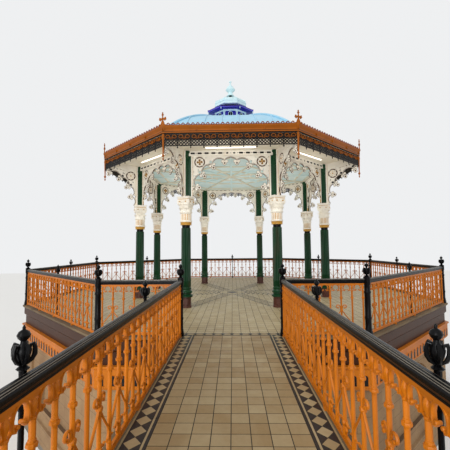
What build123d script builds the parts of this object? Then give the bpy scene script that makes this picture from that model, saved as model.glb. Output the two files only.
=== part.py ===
"""Octagonal bandstand on a raised deck, reached by a railed footbridge. Millimetres, +Z up.

The origin is at ground level under the centre of the stage. The bridge runs towards -Y.
"""

from build123d import *
import os
from math import cos, hypot, radians, sin, sqrt, tan

os.makedirs("parts", exist_ok=True)

# The octagon: eight equal sides, one of them square to -Y
SIDES = 8
TURN = 360 / SIDES
HALF_TURN = TURN / 2
HALF_SIDE = tan(radians(HALF_TURN))
TO_CORNER = 1 / cos(radians(HALF_TURN))

# Plan sizes, each an apothem of the octagon
column_apothem = 3150
eaves_apothem = 4280
rail_apothem = 6230
deck_edge_margin = 100
kerb_width = 260

# Levels of the lower storey
deck_height = 3600
base_floor_depth = 150
plinth_height = 500
plinth_projection = 60
wall_thickness = 450
wall_setback = 190
pier_width = 700
pier_projection = 60
recess_depth = 90
recess_margin = 760
recess_rise = 520
recess_sill = 350
recess_head = 180
cornice_height = 450
cornice_projection = 70
cornice_bead = 55
cornice_quirk = 35
fascia_height = 500
fascia_lower_height = 240
fascia_step = 45
slab_depth = 260
slab_bearing = 300
paving_depth = 40

# The footbridge
bridge_half_rail = 980
bridge_edge_margin = 100
bridge_bays = 3
bridge_bay = 2375
bridge_slab_depth = 140
bridge_kerb_width = 180
girder_depth = 380
girder_width = 160
girder_inset = 140
abutment_depth = 600
abutment_plinth_height = 400
abutment_plinth_projection = 80

# The cast railing
handrail_top = 1070
handrail_depth = 90
handrail_width = 78
handrail_foot_width = 54
handrail_ridge_width = 20
handrail_flare = 32
handrail_bevel = 27
panel_depth = 28
panel_clear = 30
panel_foot_width = 60
bottom_rail_depth = 45
top_rail_depth = 40
baluster_width = 62
baluster_pitch = 215
stile_width = 40

# Newels and the slender standards behind the rails
newel_width = 120
newel_neck = 40
urn_height = 270
urn_width = 130
gate_newel_width = 96
standard_width = 46
standard_urn_height = 190
standard_urn_width = 84

# Columns
plinth_block_height = 206
plinth_block_width = 300
column_base_height = 130
column_base_block = 52
column_base_width = 280
column_base_lip = 4
column_width = 230
capital_bottom = 2320
capital_bell_height = 600
capital_bell_width = 372
capital_block_height = 318
capital_block_overlap = 93
abacus_width = 364
post_width = 157

# Filigree screens between the posts, and the brackets that reach to the eaves
screen_height = 1195
screen_depth = 28
lobe_bulge = 0.42
LOBE_CHORDS = 3
MEDALLION_SIDES = 6
medallion_width = 250
bracket_depth = 30

# Beam, soffit, eaves
beam_depth = 142
beam_width = 150
ceiling_below_beam = 52
ceiling_depth = 35
ceiling_rib_depth = 55
ceiling_rib_width = 70
ceiling_rose_width = 420
ceiling_rose_drop = 30
soffit_rise = 182
soffit_depth = 25
soffit_seat = 90
light_length = 1460
light_width = 90
light_depth = 45
light_from_beam = 210
gutter_height = 190
gutter_lip = 45
gutter_bead = 26
gutter_hollow_top = 95
valance_height = 345
valance_depth = 22
valance_inset = 45
valance_point = 64
valance_modules = 10
cresting_height = 78
cresting_depth = 16
cresting_inset = 30
cresting_dip = 43
cresting_loops = 8
eaves_finial_height = 366
eaves_finial_arm = 108
eaves_finial_foot = 130
eaves_finial_depth = 24
drop_length = 734
drop_width = 62
drop_tip_height = 65
drop_tip_width = 12
drop_spear_width = 44

# Roof
dome_foot_inset = 200
dome_seat = 90
dome_thickness = 60
dome_rise = 1514
dome_bulge = 250
dome_crown_apothem = 600
dome_curb = 100
hip_width = 70
hip_height = 40
hip_clearance = 5
lantern_wall = 80
lantern_height = 452
lantern_overhang = 265
lantern_roof_height = 200
lantern_roof_draw = 345
cap_overhang = 80
cap_height = 580
cap_neck_width = 140
finial_height = 590
finial_urn_width = 366
finial_foot_width = 300

# Turned and cast outlines, as shares of a half width and of a height
URN = [(0.5, 0), (0.35, 0.16), (1, 0.5), (0.35, 0.76), (0.12, 1)]
SMALL_URN = [(0.5, 0), (1, 0.45), (0.3, 0.76), (0.12, 1)]
EAVES_FINIAL = [
    (0.16, 0.22),
    (0.16, 0.52),
    (1, 0.5),
    (1, 0.68),
    (0.16, 0.66),
    (0.35, 0.86),
]
CAPITAL_BELL = [
    (0.79, 0),
    (0.79, 0.13),
    (0.855, 0.14),
    (0.855, 0.2),
    (0.755, 0.22),
    (0.755, 0.56),
    (0.9, 0.575),
    (0.9, 0.635),
    (0.78, 0.65),
    (1, 0.845),
    (0.8, 1),
]
CAPITAL_BLOCK = [(0.78, 0), (0.92, 0.286), (0.92, 0.73), (1, 0.79), (1, 1)]
LANTERN_ROOF = [(1, 0), (1, 0.25), (0.55, 0.6), (0, 1)]
CAP = [(0.8, 0), (0.8, 0.04), (1, 0.055), (1, 0.19), (0.83, 0.48), (0.42, 0.64)]
CAP_NECK_FOOT = 0.69
FINIAL_FOOT = [(0.75, 0), (1, 0.04), (0.67, 0.14)]
FINIAL_BODY = [
    (0.44, 0.2),
    (1, 0.41),
    (0.66, 0.58),
    (0.27, 0.63),
    (0.16, 0.85),
    (0.25, 0.93),
    (0.1, 1),
]

# The cusped arch, as shares of the half width and the height of a screen
ARCH_CROWN = 0.97
ARCH_CUSPS = [(0.145, 0.775), (0.391, 0.669), (0.589, 0.471), (0.705, 0.212), (0.87, 0)]
ARCH_MEDALLION = (0.738, 0.849)

# The bracket, as shares of its reach from the post's centre and of a screen's height
BRACKET_CUSPS = [(0.226, 0), (0.372, 0.237), (0.469, 0.49), (0.682, 0.699), (0.952, 0.82)]
BRACKET_MEDALLION = (0.292, 0.849)
BRACKET_TIP = 1.018

# How far a run passes its mitre before it is trimmed
MITRE_OVERRUN = 10

# Sizes that follow from the ones above
edge_apothem = rail_apothem + deck_edge_margin
paving_apothem = edge_apothem - kerb_width
wall_outer = edge_apothem - wall_setback
wall_inner = wall_outer - wall_thickness
slab_top = deck_height - paving_depth
fascia_bottom = slab_top - fascia_height
cornice_bottom = fascia_bottom - cornice_height
slab_bottom = slab_top - slab_depth
slab_apothem = edge_apothem - slab_bearing
wall_bottom = base_floor_depth + plinth_height
bridge_half_width = bridge_half_rail + bridge_edge_margin
bridge_end = rail_apothem + bridge_bays * bridge_bay
bridge_tip = bridge_end + bridge_edge_margin
bridge_slab_bottom = slab_top - bridge_slab_depth
girder_bottom = bridge_slab_bottom - girder_depth
block_bottom = capital_bottom + capital_bell_height - capital_block_overlap
capital_top = block_bottom + capital_block_height
beam_bottom = capital_top + screen_height
beam_top = beam_bottom + beam_depth
ceiling_height = beam_top - ceiling_below_beam
post_half = post_width / 2
gutter_bottom = beam_top + soffit_rise
gutter_top = gutter_bottom + gutter_height
gutter_width = dome_foot_inset + dome_seat
drop_bottom = gutter_bottom - drop_length
dome_crown_height = gutter_top + dome_rise
lantern_eaves_height = dome_crown_height + lantern_height
lantern_eaves_apothem = dome_crown_apothem + lantern_overhang
lantern_top_apothem = lantern_eaves_apothem - lantern_roof_draw
cap_bottom = lantern_eaves_height + lantern_roof_height
cap_top = cap_bottom + cap_height
cap_apothem = lantern_top_apothem + cap_overhang
valance_apothem = eaves_apothem - valance_inset - valance_depth / 2

SIDE_PLANE = Plane(origin=(0, 0, 0), x_dir=(1, 0, 0), z_dir=(0, -1, 0))
PROFILE_PLANE = Plane(origin=(0, 0, 0), x_dir=(0, -1, 0), z_dir=(-1, 0, 0))


def write(name, shape):
    """One sub-part to its own file."""
    export_step(shape, f"parts/{name}.step")


def raised(shape):
    """Moves a shape that is drawn from the deck's surface up to the deck."""
    return Pos(0, 0, deck_height) * shape


def octagon(apothem, z=0.0):
    return Pos(0, 0, z) * RegularPolygon(apothem, SIDES, major_radius=False, rotation=HALF_TURN)


def prism(apothem, bottom, top):
    return extrude(octagon(apothem, bottom), top - bottom)


def stack(levels, sides=SIDES):
    """A many-sided solid through (apothem, height) levels, with flat facets between them."""
    half_turn = 180 / sides
    rings = []
    for apothem, z in levels:
        reach = apothem / cos(radians(half_turn))
        turns = [radians(half_turn * (2 * k + 1)) for k in range(sides)]
        rings.append([Vector(reach * cos(turn), reach * sin(turn), z) for turn in turns])
    faces = [polygon(rings[0][::-1]), polygon(rings[-1])]
    for lower, upper in zip(rings, rings[1:]):
        for k in range(sides):
            j = (k + 1) % sides
            faces.append(polygon([lower[k], lower[j], upper[j], upper[k]]))
    return Solid(Shell(faces))


def turned(profile, half_width, height, bottom=0, sides=SIDES):
    """A stack whose levels are shares of a half width and a height."""
    return stack([(half_width * across, bottom + height * up) for across, up in profile], sides)


def ring(outer, inner, bottom, top):
    return prism(outer, bottom, top) - prism(inner, bottom, top)


def polygon(vectors):
    return Face(Wire.make_polygon(vectors, close=True))


def closed_wire(points):
    return Wire.make_polygon([Vector(x, y) for x, y in points], close=True)


def polygon_face(points):
    return Face(closed_wire(points))


def around(shape):
    """The shape of one side, repeated on all eight."""
    return [Rot(0, 0, TURN * k) * shape for k in range(SIDES)]


def at_corners(shape, apothem):
    """A shape drawn at the origin, set on every corner of an octagon, its +X side outwards."""
    reach = apothem * TO_CORNER
    return [Rot(0, 0, HALF_TURN + TURN * k) * Pos(reach, 0, 0) * shape for k in range(SIDES)]


def wedge(reach, bottom, top):
    """The eighth of the plan that belongs to the side facing -Y."""
    corners = [(0, 0), (HALF_SIDE * reach, -reach), (-HALF_SIDE * reach, -reach)]
    return Pos(0, 0, bottom) * extrude(polygon_face(corners), top - bottom, dir=(0, 0, 1))


def mitred_side(face, reach, bottom, top):
    """A profile drawn as (apothem, height), run along one side and mitred at its corners."""
    run = extrude(PROFILE_PLANE.location * face, HALF_SIDE * reach + MITRE_OVERRUN, both=True)
    return run & wedge(reach + MITRE_OVERRUN, bottom, top)


def mitred_ring(face):
    box = face.bounding_box()
    side = mitred_side(face, box.max.X, box.min.Y, box.max.Y)
    whole = side
    for turned in around(side)[1:]:
        whole = whole + turned
    return whole


def upright(face, depth, apothem=0.0):
    """A face drawn as (along the side, height), given its depth and set on the -Y side."""
    placed = Pos(0, -apothem, 0) * SIDE_PLANE.location * face
    return extrude(placed, depth / 2, both=True)


def compound(solids):
    flat = []
    for shape in solids:
        flat.extend(shape.solids())
    return Compound(children=flat)


def arc_points(start, middle, end, chords):
    """Points along the arc through three points, without the first, at equal turns."""
    arc = ThreePointArc(Vector(*start), Vector(*middle), Vector(*end))
    along = [arc @ (k / chords) for k in range(1, chords + 1)]
    return [(point.X, point.Y) for point in along]


def lobe(start, end, centre):
    """A lobe between two cusps, bulging away from the centre of the opening."""
    middle = Vector((start[0] + end[0]) / 2, (start[1] + end[1]) / 2)
    across = Vector(end[0] - start[0], end[1] - start[1])
    out = Vector(-across.Y, across.X)
    if out.dot(middle - Vector(*centre)) < 0:
        out = out * -1
    crown = middle + out * lobe_bulge
    return arc_points(start, (crown.X, crown.Y), end, LOBE_CHORDS)


# Lower storey


def base_floor():
    return prism(wall_outer + plinth_projection, 0, base_floor_depth)


def base_plinth():
    return ring(wall_outer + plinth_projection, wall_inner, base_floor_depth, wall_bottom)


def wall_half():
    """Half the length of a wall, from the middle of its side to the pier."""
    return HALF_SIDE * wall_inner - pier_width / 2


def base_wall():
    """One wall between two piers, with a blind arched recess on its face."""
    half = wall_half()
    height = cornice_bottom - wall_bottom
    wall = Pos(0, -(wall_outer + wall_inner) / 2, wall_bottom) * Box(
        2 * half, wall_thickness, height, align=(Align.CENTER, Align.CENTER, Align.MIN)
    )
    recess_half = half - recess_margin
    spring = cornice_bottom - recess_head - recess_rise
    sill = wall_bottom + recess_sill
    outline = [
        Line((-recess_half, spring), (-recess_half, sill)),
        Line((-recess_half, sill), (recess_half, sill)),
        Line((recess_half, sill), (recess_half, spring)),
        ThreePointArc((recess_half, spring), (0, spring + recess_rise), (-recess_half, spring)),
    ]
    recess = upright(Face(Wire(outline)), 2 * recess_depth, wall_outer)
    return wall - recess


def base_pier():
    """A corner pier, between the ends of two walls, standing a little proud of both."""
    half = wall_half()
    outer = wall_outer + pier_projection
    c, s = cos(radians(TURN)), sin(radians(TURN))

    def next_side(x, y):
        return (x * c - y * s, x * s + y * c)

    points = [
        (half, -wall_inner),
        (half, -outer),
        (HALF_SIDE * outer, -outer),
        next_side(-half, -outer),
        next_side(-half, -wall_inner),
        (HALF_SIDE * wall_inner, -wall_inner),
    ]
    return extrude(Pos(0, 0, wall_bottom) * polygon_face(points), cornice_bottom - wall_bottom, dir=(0, 0, 1))


def base_cornice():
    """The band over the walls: a bead, a tall frieze and a shelf."""
    out = edge_apothem
    frieze = out - cornice_quirk
    profile = polygon_face(
        [
            (wall_inner, cornice_bottom),
            (out - cornice_projection, cornice_bottom),
            (frieze, cornice_bottom + cornice_bead),
            (frieze, fascia_bottom - cornice_bead),
            (out, fascia_bottom - cornice_quirk),
            (out, fascia_bottom),
            (wall_inner, fascia_bottom),
        ]
    )
    return mitred_ring(profile)


def deck_fascia():
    """The stepped edge of the deck, with an inner ledge that carries the slab."""
    middle = fascia_bottom + fascia_lower_height
    profile = polygon_face(
        [
            (wall_inner + fascia_step, fascia_bottom),
            (edge_apothem - 2 * fascia_step, fascia_bottom),
            (edge_apothem - 2 * fascia_step, middle),
            (edge_apothem - fascia_step, middle + fascia_step),
            (edge_apothem - fascia_step, slab_top - fascia_step),
            (edge_apothem, slab_top),
            (slab_apothem, slab_top),
            (slab_apothem, slab_bottom),
            (wall_inner + fascia_step, slab_bottom),
        ]
    )
    return mitred_ring(profile)


def deck_slab():
    return prism(slab_apothem, slab_bottom, slab_top)


def deck_kerb():
    return ring(edge_apothem, paving_apothem, slab_top, deck_height)


def deck_paving():
    return prism(paving_apothem, slab_top, deck_height)


# Footbridge


def bar(x0, x1, y0, y1, z0, z1):
    centre = Pos((x0 + x1) / 2, (y0 + y1) / 2, (z0 + z1) / 2)
    return centre * Box(abs(x1 - x0), abs(y1 - y0), abs(z1 - z0))


def bridge_slab():
    half = bridge_half_width
    return bar(-half, half, -bridge_tip, -edge_apothem, bridge_slab_bottom, slab_top)


def bridge_girders():
    outer = bridge_half_width - girder_inset
    girders = []
    for side in (-1, 1):
        girders.append(
            bar(
                side * outer,
                side * (outer - girder_width),
                -bridge_tip,
                -edge_apothem,
                girder_bottom,
                bridge_slab_bottom,
            )
        )
    return compound(girders)


def bridge_paving():
    half = bridge_half_width - bridge_kerb_width
    return bar(-half, half, -bridge_tip, -edge_apothem, slab_top, deck_height)


def bridge_kerbs():
    inner = bridge_half_width - bridge_kerb_width
    kerbs = []
    for side in (-1, 1):
        kerbs.append(
            bar(side * inner, side * bridge_half_width, -bridge_tip, -edge_apothem, slab_top, deck_height)
        )
    return compound(kerbs)


def bridge_abutment():
    """A plain masonry pier under the outer end of the bridge."""
    body = bar(
        -bridge_half_width,
        bridge_half_width,
        -bridge_tip,
        -bridge_tip + abutment_depth,
        0,
        girder_bottom,
    )
    out = abutment_plinth_projection
    foot = bar(
        -bridge_half_width - out,
        bridge_half_width + out,
        -bridge_tip,
        -bridge_tip + abutment_depth + out,
        0,
        abutment_plinth_height,
    )
    return body + foot


# Railings


def rail_panel(length):
    """A cast panel from x = 0 to length: openings between balusters, on short feet."""
    inner = length - 2 * stile_width
    bays = max(1, round(inner / baluster_pitch))
    pitch = (inner + baluster_width) / bays
    gap = pitch - baluster_width
    top = handrail_top - handrail_depth
    sill = panel_clear + bottom_rail_depth
    head = top - top_rail_depth
    foot = panel_foot_width
    outline = [
        (0, 0),
        (foot, 0),
        (foot, panel_clear),
        (length - foot, panel_clear),
        (length - foot, 0),
        (length, 0),
        (length, top),
        (0, top),
    ]
    holes = []
    for bay in range(bays):
        left = stile_width + bay * pitch
        right = left + gap
        corners = [(left, sill), (right, sill), (right, head), (left, head)]
        holes.append(closed_wire(corners))
    return upright(Face(closed_wire(outline), holes), panel_depth)


def rail_between(start, end):
    """A panel from start to end, both (x, y) on the deck."""
    length = hypot(end[0] - start[0], end[1] - start[1])
    along = Vector(end[0] - start[0], end[1] - start[1], 0)
    plane = Plane(origin=(start[0], start[1], 0), x_dir=along, z_dir=(0, 0, 1))
    return plane.location * rail_panel(length)


def handrail(length):
    """The ridged rail along the top, from x = 0 to length."""
    half = handrail_width / 2
    foot = handrail_foot_width / 2
    ridge = handrail_ridge_width / 2
    bottom = handrail_top - handrail_depth
    outline = polygon_face(
        [
            (-foot, bottom),
            (foot, bottom),
            (half, bottom + handrail_flare),
            (half, handrail_top - handrail_bevel),
            (ridge, handrail_top),
            (-ridge, handrail_top),
            (-half, handrail_top - handrail_bevel),
            (-half, bottom + handrail_flare),
        ]
    )
    end_plane = Plane(origin=(0, 0, 0), x_dir=(0, 1, 0), z_dir=(1, 0, 0))
    return extrude(end_plane.location * outline, length)


def handrail_between(start, end):
    length = hypot(end[0] - start[0], end[1] - start[1])
    along = Vector(end[0] - start[0], end[1] - start[1], 0)
    plane = Plane(origin=(start[0], start[1], 0), x_dir=along, z_dir=(0, 0, 1))
    return plane.location * handrail(length)


corner_x = HALF_SIDE * rail_apothem
newel_half = newel_width / 2
gate_half = gate_newel_width / 2
side_start = (-corner_x + newel_half, -rail_apothem)
side_end = (corner_x - newel_half, -rail_apothem)
front_runs = [
    ((-corner_x + newel_half, -rail_apothem), (-bridge_half_rail - gate_half, -rail_apothem)),
    ((bridge_half_rail + gate_half, -rail_apothem), (corner_x - newel_half, -rail_apothem)),
]
bridge_runs = {
    "left": ((-bridge_half_rail, -bridge_end), (-bridge_half_rail, -rail_apothem - gate_half)),
    "right": ((bridge_half_rail, -bridge_end), (bridge_half_rail, -rail_apothem - gate_half)),
}
side_names = [
    "front",
    "front_right",
    "right",
    "back_right",
    "back",
    "back_left",
    "left",
    "front_left",
]


def newel(width):
    """An octagonal newel, a little taller than the handrail, with its urn."""
    top = handrail_top + newel_neck
    return prism(width / 2, 0, top) + turned(URN, urn_width / 2, urn_height, top)


def corner_newels():
    straight = Rot(0, 0, HALF_TURN) * newel(newel_width)
    return compound([raised(p) for p in at_corners(straight, rail_apothem)])


def gate_newels():
    post = newel(gate_newel_width)
    return compound([raised(Pos(side * bridge_half_rail, -rail_apothem, 0) * post) for side in (-1, 1)])


def standard():
    """A slender square standard that props a rail from one side, with a small urn."""
    post = extrude(Rectangle(standard_width, standard_width), handrail_top)
    return post + turned(SMALL_URN, standard_urn_width / 2, standard_urn_height, handrail_top, 4)


def standard_reach():
    """From a rail's centre line to a standard's centre line, side by side."""
    return (max(panel_depth, handrail_width) + standard_width) / 2


def rail_standards():
    inside = rail_apothem - standard_reach()
    inner = Pos(0, -inside, 0) * standard()
    deck = [Rot(0, 0, TURN * k) * inner for k in range(1, SIDES)]
    outside = bridge_half_rail + standard_reach()
    bridge = []
    for bay in range(1, bridge_bays + 1):
        inset = standard_width if bay == bridge_bays else 0
        for side in (-1, 1):
            bridge.append(Pos(side * outside, -rail_apothem - bay * bridge_bay + inset, 0) * standard())
    return compound([raised(p) for p in deck + bridge])


# Columns


def column_plinths():
    block = prism(plinth_block_width / 2, 0, plinth_block_height)
    block = Rot(0, 0, HALF_TURN) * block
    return compound([raised(p) for p in at_corners(block, column_apothem)])


def column():
    """Moulded base and eight-sided shaft."""
    base_top = plinth_block_height + column_base_height
    base = stack(
        [
            (column_base_width / 2, plinth_block_height),
            (column_base_width / 2, plinth_block_height + column_base_block),
            (column_width / 2 + column_base_lip, base_top),
        ]
    )
    shaft = prism(column_width / 2, base_top, capital_bottom)
    return Rot(0, 0, HALF_TURN) * (base + shaft)


def columns():
    return compound([raised(p) for p in at_corners(column(), column_apothem)])


def capital():
    """Collar, neck and leaf bell, with a square block and abacus that faces outwards."""
    bell = turned(CAPITAL_BELL, capital_bell_width / 2, capital_bell_height, capital_bottom)
    block = turned(CAPITAL_BLOCK, abacus_width / 2, capital_block_height, block_bottom, sides=4)
    return bell + block


def capitals():
    return compound([raised(p) for p in at_corners(capital(), column_apothem)])


def upper_posts():
    post = Rot(0, 0, HALF_TURN) * prism(post_half, capital_top, beam_bottom)
    return compound([raised(p) for p in at_corners(post, column_apothem)])


# Filigree


def medallion(x, z):
    """A round pierced roundel, drawn as a hole of few sides."""
    return Pos(x, z, 0) * RegularPolygon(medallion_width / 2, MEDALLION_SIDES, major_radius=False)


def arch_screen():
    """The screen over one side: a cusped arch of nine lobes, with a medallion in each spandrel."""
    half = HALF_SIDE * column_apothem - post_half
    right = [(half * across, capital_top + screen_height * up) for across, up in ARCH_CUSPS]
    left = [(-x, z) for x, z in right]
    centre = (0, capital_top)
    outline = [(-half, beam_bottom), (-half, capital_top), left[-1]]
    for k in range(len(left) - 1, 0, -1):
        outline += lobe(left[k], left[k - 1], centre)
    crown = (0, capital_top + screen_height * ARCH_CROWN)
    outline += arc_points(left[0], crown, right[0], LOBE_CHORDS + 1)
    for k in range(len(right) - 1):
        outline += lobe(right[k], right[k + 1], centre)
    outline += [(half, capital_top), (half, beam_bottom)]
    face = Sketch() + polygon_face(outline)
    across, up = ARCH_MEDALLION
    for side in (-1, 1):
        face = face - medallion(side * half * across, capital_top + screen_height * up)
    return raised(upright(face.face(), screen_depth, column_apothem))


soffit_start = column_apothem + beam_width / 2
soffit_end = eaves_apothem - gutter_width
soffit_under_end = gutter_bottom - soffit_depth


def soffit_under(apothem):
    """The underside of the soffit, which rises outwards from the beam to the gutter."""
    share = (apothem - soffit_start) / (soffit_end - soffit_start)
    return beam_top + (soffit_under_end - beam_top) * share


def bracket():
    """A cusped bracket in the plane of a corner, from the post out to the eaves."""
    start = post_half * TO_CORNER
    end = (valance_apothem - drop_width / 2 - column_apothem) * TO_CORNER
    bend = (soffit_end - column_apothem) * TO_CORNER
    points = [(end * across, capital_top + screen_height * up) for across, up in BRACKET_CUSPS]
    centre = (end, capital_top)
    outline = [(start, capital_top), points[0]]
    for k in range(len(points) - 1):
        outline += lobe(points[k], points[k + 1], centre)
    tip = capital_top + screen_height * BRACKET_TIP
    outline += [(end, tip), (end, soffit_under_end), (bend, soffit_under_end)]
    outline.append((start, soffit_under(column_apothem + start / TO_CORNER)))
    across, up = BRACKET_MEDALLION
    hole = medallion(end * across, capital_top + screen_height * up)
    face = Sketch() + polygon_face(outline) - hole
    return extrude(SIDE_PLANE.location * face.face(), bracket_depth / 2, both=True)


def eaves_brackets():
    return compound([raised(p) for p in at_corners(bracket(), column_apothem)])


# Beam, ceiling, soffit and eaves


def arch_beam():
    half = beam_width / 2
    return raised(ring(column_apothem + half, column_apothem - half, beam_bottom, beam_top))


def ceiling_panel():
    inner = column_apothem - beam_width / 2
    return raised(prism(inner, ceiling_height, ceiling_height + ceiling_depth))


def ceiling_ribs():
    """Eight ribs and a rose under the ceiling."""
    inner = column_apothem - beam_width / 2
    rose_bottom = ceiling_height - ceiling_rib_depth - ceiling_rose_drop
    whole = prism(ceiling_rose_width / 2, rose_bottom, ceiling_height)
    length = inner * TO_CORNER
    room = prism(inner, ceiling_height - ceiling_rib_depth, ceiling_height)
    for k in range(SIDES // 2):
        rib = Rot(0, 0, HALF_TURN + TURN * k) * Pos(0, 0, ceiling_height - ceiling_rib_depth / 2) * Box(
            2 * length, ceiling_rib_width, ceiling_rib_depth
        )
        whole = whole + (rib & room)
    return raised(whole)


def eaves_soffit():
    """The sloping soffit from the beam's top edge out to the foot of the gutter."""
    back = soffit_start - soffit_seat
    edge = eaves_apothem - gutter_lip
    profile = polygon_face(
        [
            (back, beam_top),
            (soffit_start, beam_top),
            (soffit_end, soffit_under_end),
            (edge, soffit_under_end),
            (edge, gutter_bottom),
            (soffit_end, gutter_bottom),
            (soffit_start, beam_top + soffit_depth),
            (back, beam_top + soffit_depth),
        ]
    )
    return raised(mitred_ring(profile))


def light_fittings():
    """A long batten light under the soffit of each side."""
    rise = soffit_under_end - beam_top
    run = soffit_end - soffit_start
    slope = sqrt(run * run + rise * rise)
    fitting = Box(light_length, light_width, light_depth, align=(Align.CENTER, Align.CENTER, Align.MAX))
    normal = Vector(0, rise / slope, run / slope)
    y = -(soffit_start + light_from_beam)
    z = beam_top + rise * light_from_beam / run
    plane = Plane(origin=(0, y, z), x_dir=(1, 0, 0), z_dir=normal)
    placed = plane.location * fitting
    return compound([raised(p) for p in around(placed)])


def gutter():
    """The moulded gutter: lower bead, hollow face and a lip."""
    out = eaves_apothem
    back = out - gutter_width
    bead = gutter_bead
    profile = polygon_face(
        [
            (back, gutter_bottom),
            (out - gutter_lip + bead, gutter_bottom),
            (out - gutter_lip + bead, gutter_bottom + bead),
            (out - gutter_lip, gutter_bottom + 2 * bead),
            (out - gutter_lip, gutter_bottom + gutter_hollow_top),
            (out, gutter_top - bead),
            (out, gutter_top),
            (back, gutter_top),
        ]
    )
    return raised(mitred_ring(profile))


def valance_side():
    """The pierced valance of one side, with a row of drop points."""
    half = HALF_SIDE * valance_apothem - drop_width / 2
    top = gutter_bottom - soffit_depth
    bottom = gutter_bottom - valance_height
    pitch = 2 * half / valance_modules
    points = [(half, top), (-half, top), (-half, bottom)]
    for k in range(valance_modules):
        left = -half + k * pitch
        points.append((left + pitch / 2, bottom - valance_point))
        points.append((left + pitch, bottom))
    return raised(upright(polygon_face(points), valance_depth, valance_apothem))


def eaves_valance():
    return compound(around(valance_side()))


def cresting_side():
    """A low band of scallops on the gutter's lip."""
    apothem = eaves_apothem - cresting_inset
    half = HALF_SIDE * apothem - eaves_finial_foot / 2 - eaves_finial_depth
    pitch = 2 * half / cresting_loops
    low = gutter_top + cresting_height - cresting_dip
    high = gutter_top + cresting_height
    points = [(-half, gutter_top)]
    points.append((half, gutter_top))
    for k in range(cresting_loops):
        right = half - k * pitch
        points.append((right, low))
        points.append((right - pitch / 2, high))
    points.append((-half, low))
    return raised(upright(polygon_face(points), cresting_depth, apothem))


def roof_cresting():
    return compound(around(cresting_side()))


def eaves_finial():
    """A trefoil cross on a scrolled foot, over each corner of the gutter."""
    right = [(eaves_finial_arm * across, eaves_finial_height * up) for across, up in EAVES_FINIAL]
    left = [(-x, z) for x, z in reversed(right)]
    foot = eaves_finial_foot / 2
    outline = [(-foot, 0), (foot, 0)] + right + [(0, eaves_finial_height)] + left
    standing = Plane(origin=(0, 0, gutter_top), x_dir=(0, 1, 0), z_dir=(1, 0, 0))
    return extrude(standing.location * polygon_face(outline), eaves_finial_depth / 2, both=True)


def corner_finials():
    apothem = eaves_apothem - cresting_inset
    return compound([raised(p) for p in at_corners(eaves_finial(), apothem)])


def corner_drop():
    """A tapering pendant rod with a spear tip."""
    half = drop_width / 2
    levels = [
        (drop_tip_width / 2, drop_bottom),
        (drop_spear_width / 2, drop_bottom + drop_tip_height),
        (half, gutter_bottom - valance_height),
        (half, gutter_bottom - soffit_depth),
    ]
    return stack(levels)


def corner_drops():
    straight = Rot(0, 0, HALF_TURN) * corner_drop()
    return compound([raised(p) for p in at_corners(straight, valance_apothem)])


# Roof


def dome_arc(offset):
    """Foot, middle and crown of the dome's profile as (apothem, height), offset outwards."""
    foot = Vector(eaves_apothem - dome_foot_inset, gutter_top)
    crown = Vector(dome_crown_apothem, dome_crown_height)
    across = (crown - foot).normalized()
    middle = (foot + crown) / 2 + Vector(across.Y, -across.X) * dome_bulge
    arc = ThreePointArc(foot, middle, crown)
    centre = arc.arc_center
    radius = arc.radius + offset
    foot_x = centre.X + sqrt(radius**2 - (gutter_top - centre.Y) ** 2)
    crown_z = centre.Y + sqrt(radius**2 - (dome_crown_apothem - centre.X) ** 2)
    middle = centre + (middle - centre).normalized() * radius
    return (foot_x, gutter_top), (middle.X, middle.Y), (dome_crown_apothem, crown_z)


def dome_shell(outer, inner):
    """A gored shell between two offsets of the dome's profile."""
    foot_o, middle_o, crown_o = dome_arc(outer)
    foot_i, middle_i, crown_i = dome_arc(inner)
    edges = [
        ThreePointArc(foot_o, middle_o, crown_o),
        Line(crown_o, crown_i),
        ThreePointArc(crown_i, middle_i, foot_i),
        Line(foot_i, foot_o),
    ]
    return Face(Wire(edges))


def main_dome():
    """Curved gores meeting at the hips, with a flat curb under the lantern."""
    shell = mitred_ring(dome_shell(0, -dome_thickness))
    curb = ring(
        dome_crown_apothem,
        dome_crown_apothem - dome_curb,
        dome_crown_height - dome_thickness,
        dome_crown_height,
    )
    return raised(shell + curb)


def dome_hips():
    """A raised roll along each hip."""
    skin = mitred_ring(dome_shell(hip_height, 0))
    foot = (eaves_apothem - cresting_inset) * TO_CORNER - eaves_finial_depth / 2 - hip_clearance
    crown = dome_crown_apothem * TO_CORNER + hip_height
    length = foot - crown
    top = dome_crown_height + 2 * hip_height
    hips = []
    for k in range(SIDES):
        cutter = Rot(0, 0, HALF_TURN + TURN * k) * Pos(crown, 0, gutter_top) * Box(
            length, hip_width, top - gutter_top, align=(Align.MIN, Align.CENTER, Align.MIN)
        )
        hips.append(raised(skin & cutter))
    return compound(hips)


def lantern_base():
    outer = dome_crown_apothem
    return raised(ring(outer, outer - lantern_wall, dome_crown_height, lantern_eaves_height))


def lantern_roof():
    """The lantern's roof, which reaches well out over the drum."""
    levels = []
    for out, up in LANTERN_ROOF:
        apothem = lantern_top_apothem + lantern_roof_draw * out
        levels.append((apothem, lantern_eaves_height + lantern_roof_height * up))
    return raised(stack(levels))


def lantern_cap():
    """A throat, a domed cap and a neck under the finial."""
    levels = [(cap_apothem * across, cap_bottom + cap_height * up) for across, up in CAP]
    neck_foot = cap_bottom + cap_height * CAP_NECK_FOOT
    neck = [(cap_neck_width / 2, neck_foot), (cap_neck_width / 2, cap_top)]
    return raised(stack(levels + neck))


def top_finial():
    """Foot, stem, urn and ball."""
    foot = [(finial_foot_width / 2 * across, finial_height * up) for across, up in FINIAL_FOOT]
    body = [(finial_urn_width / 2 * across, finial_height * up) for across, up in FINIAL_BODY]
    return raised(Pos(0, 0, cap_top) * stack(foot + body))


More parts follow.
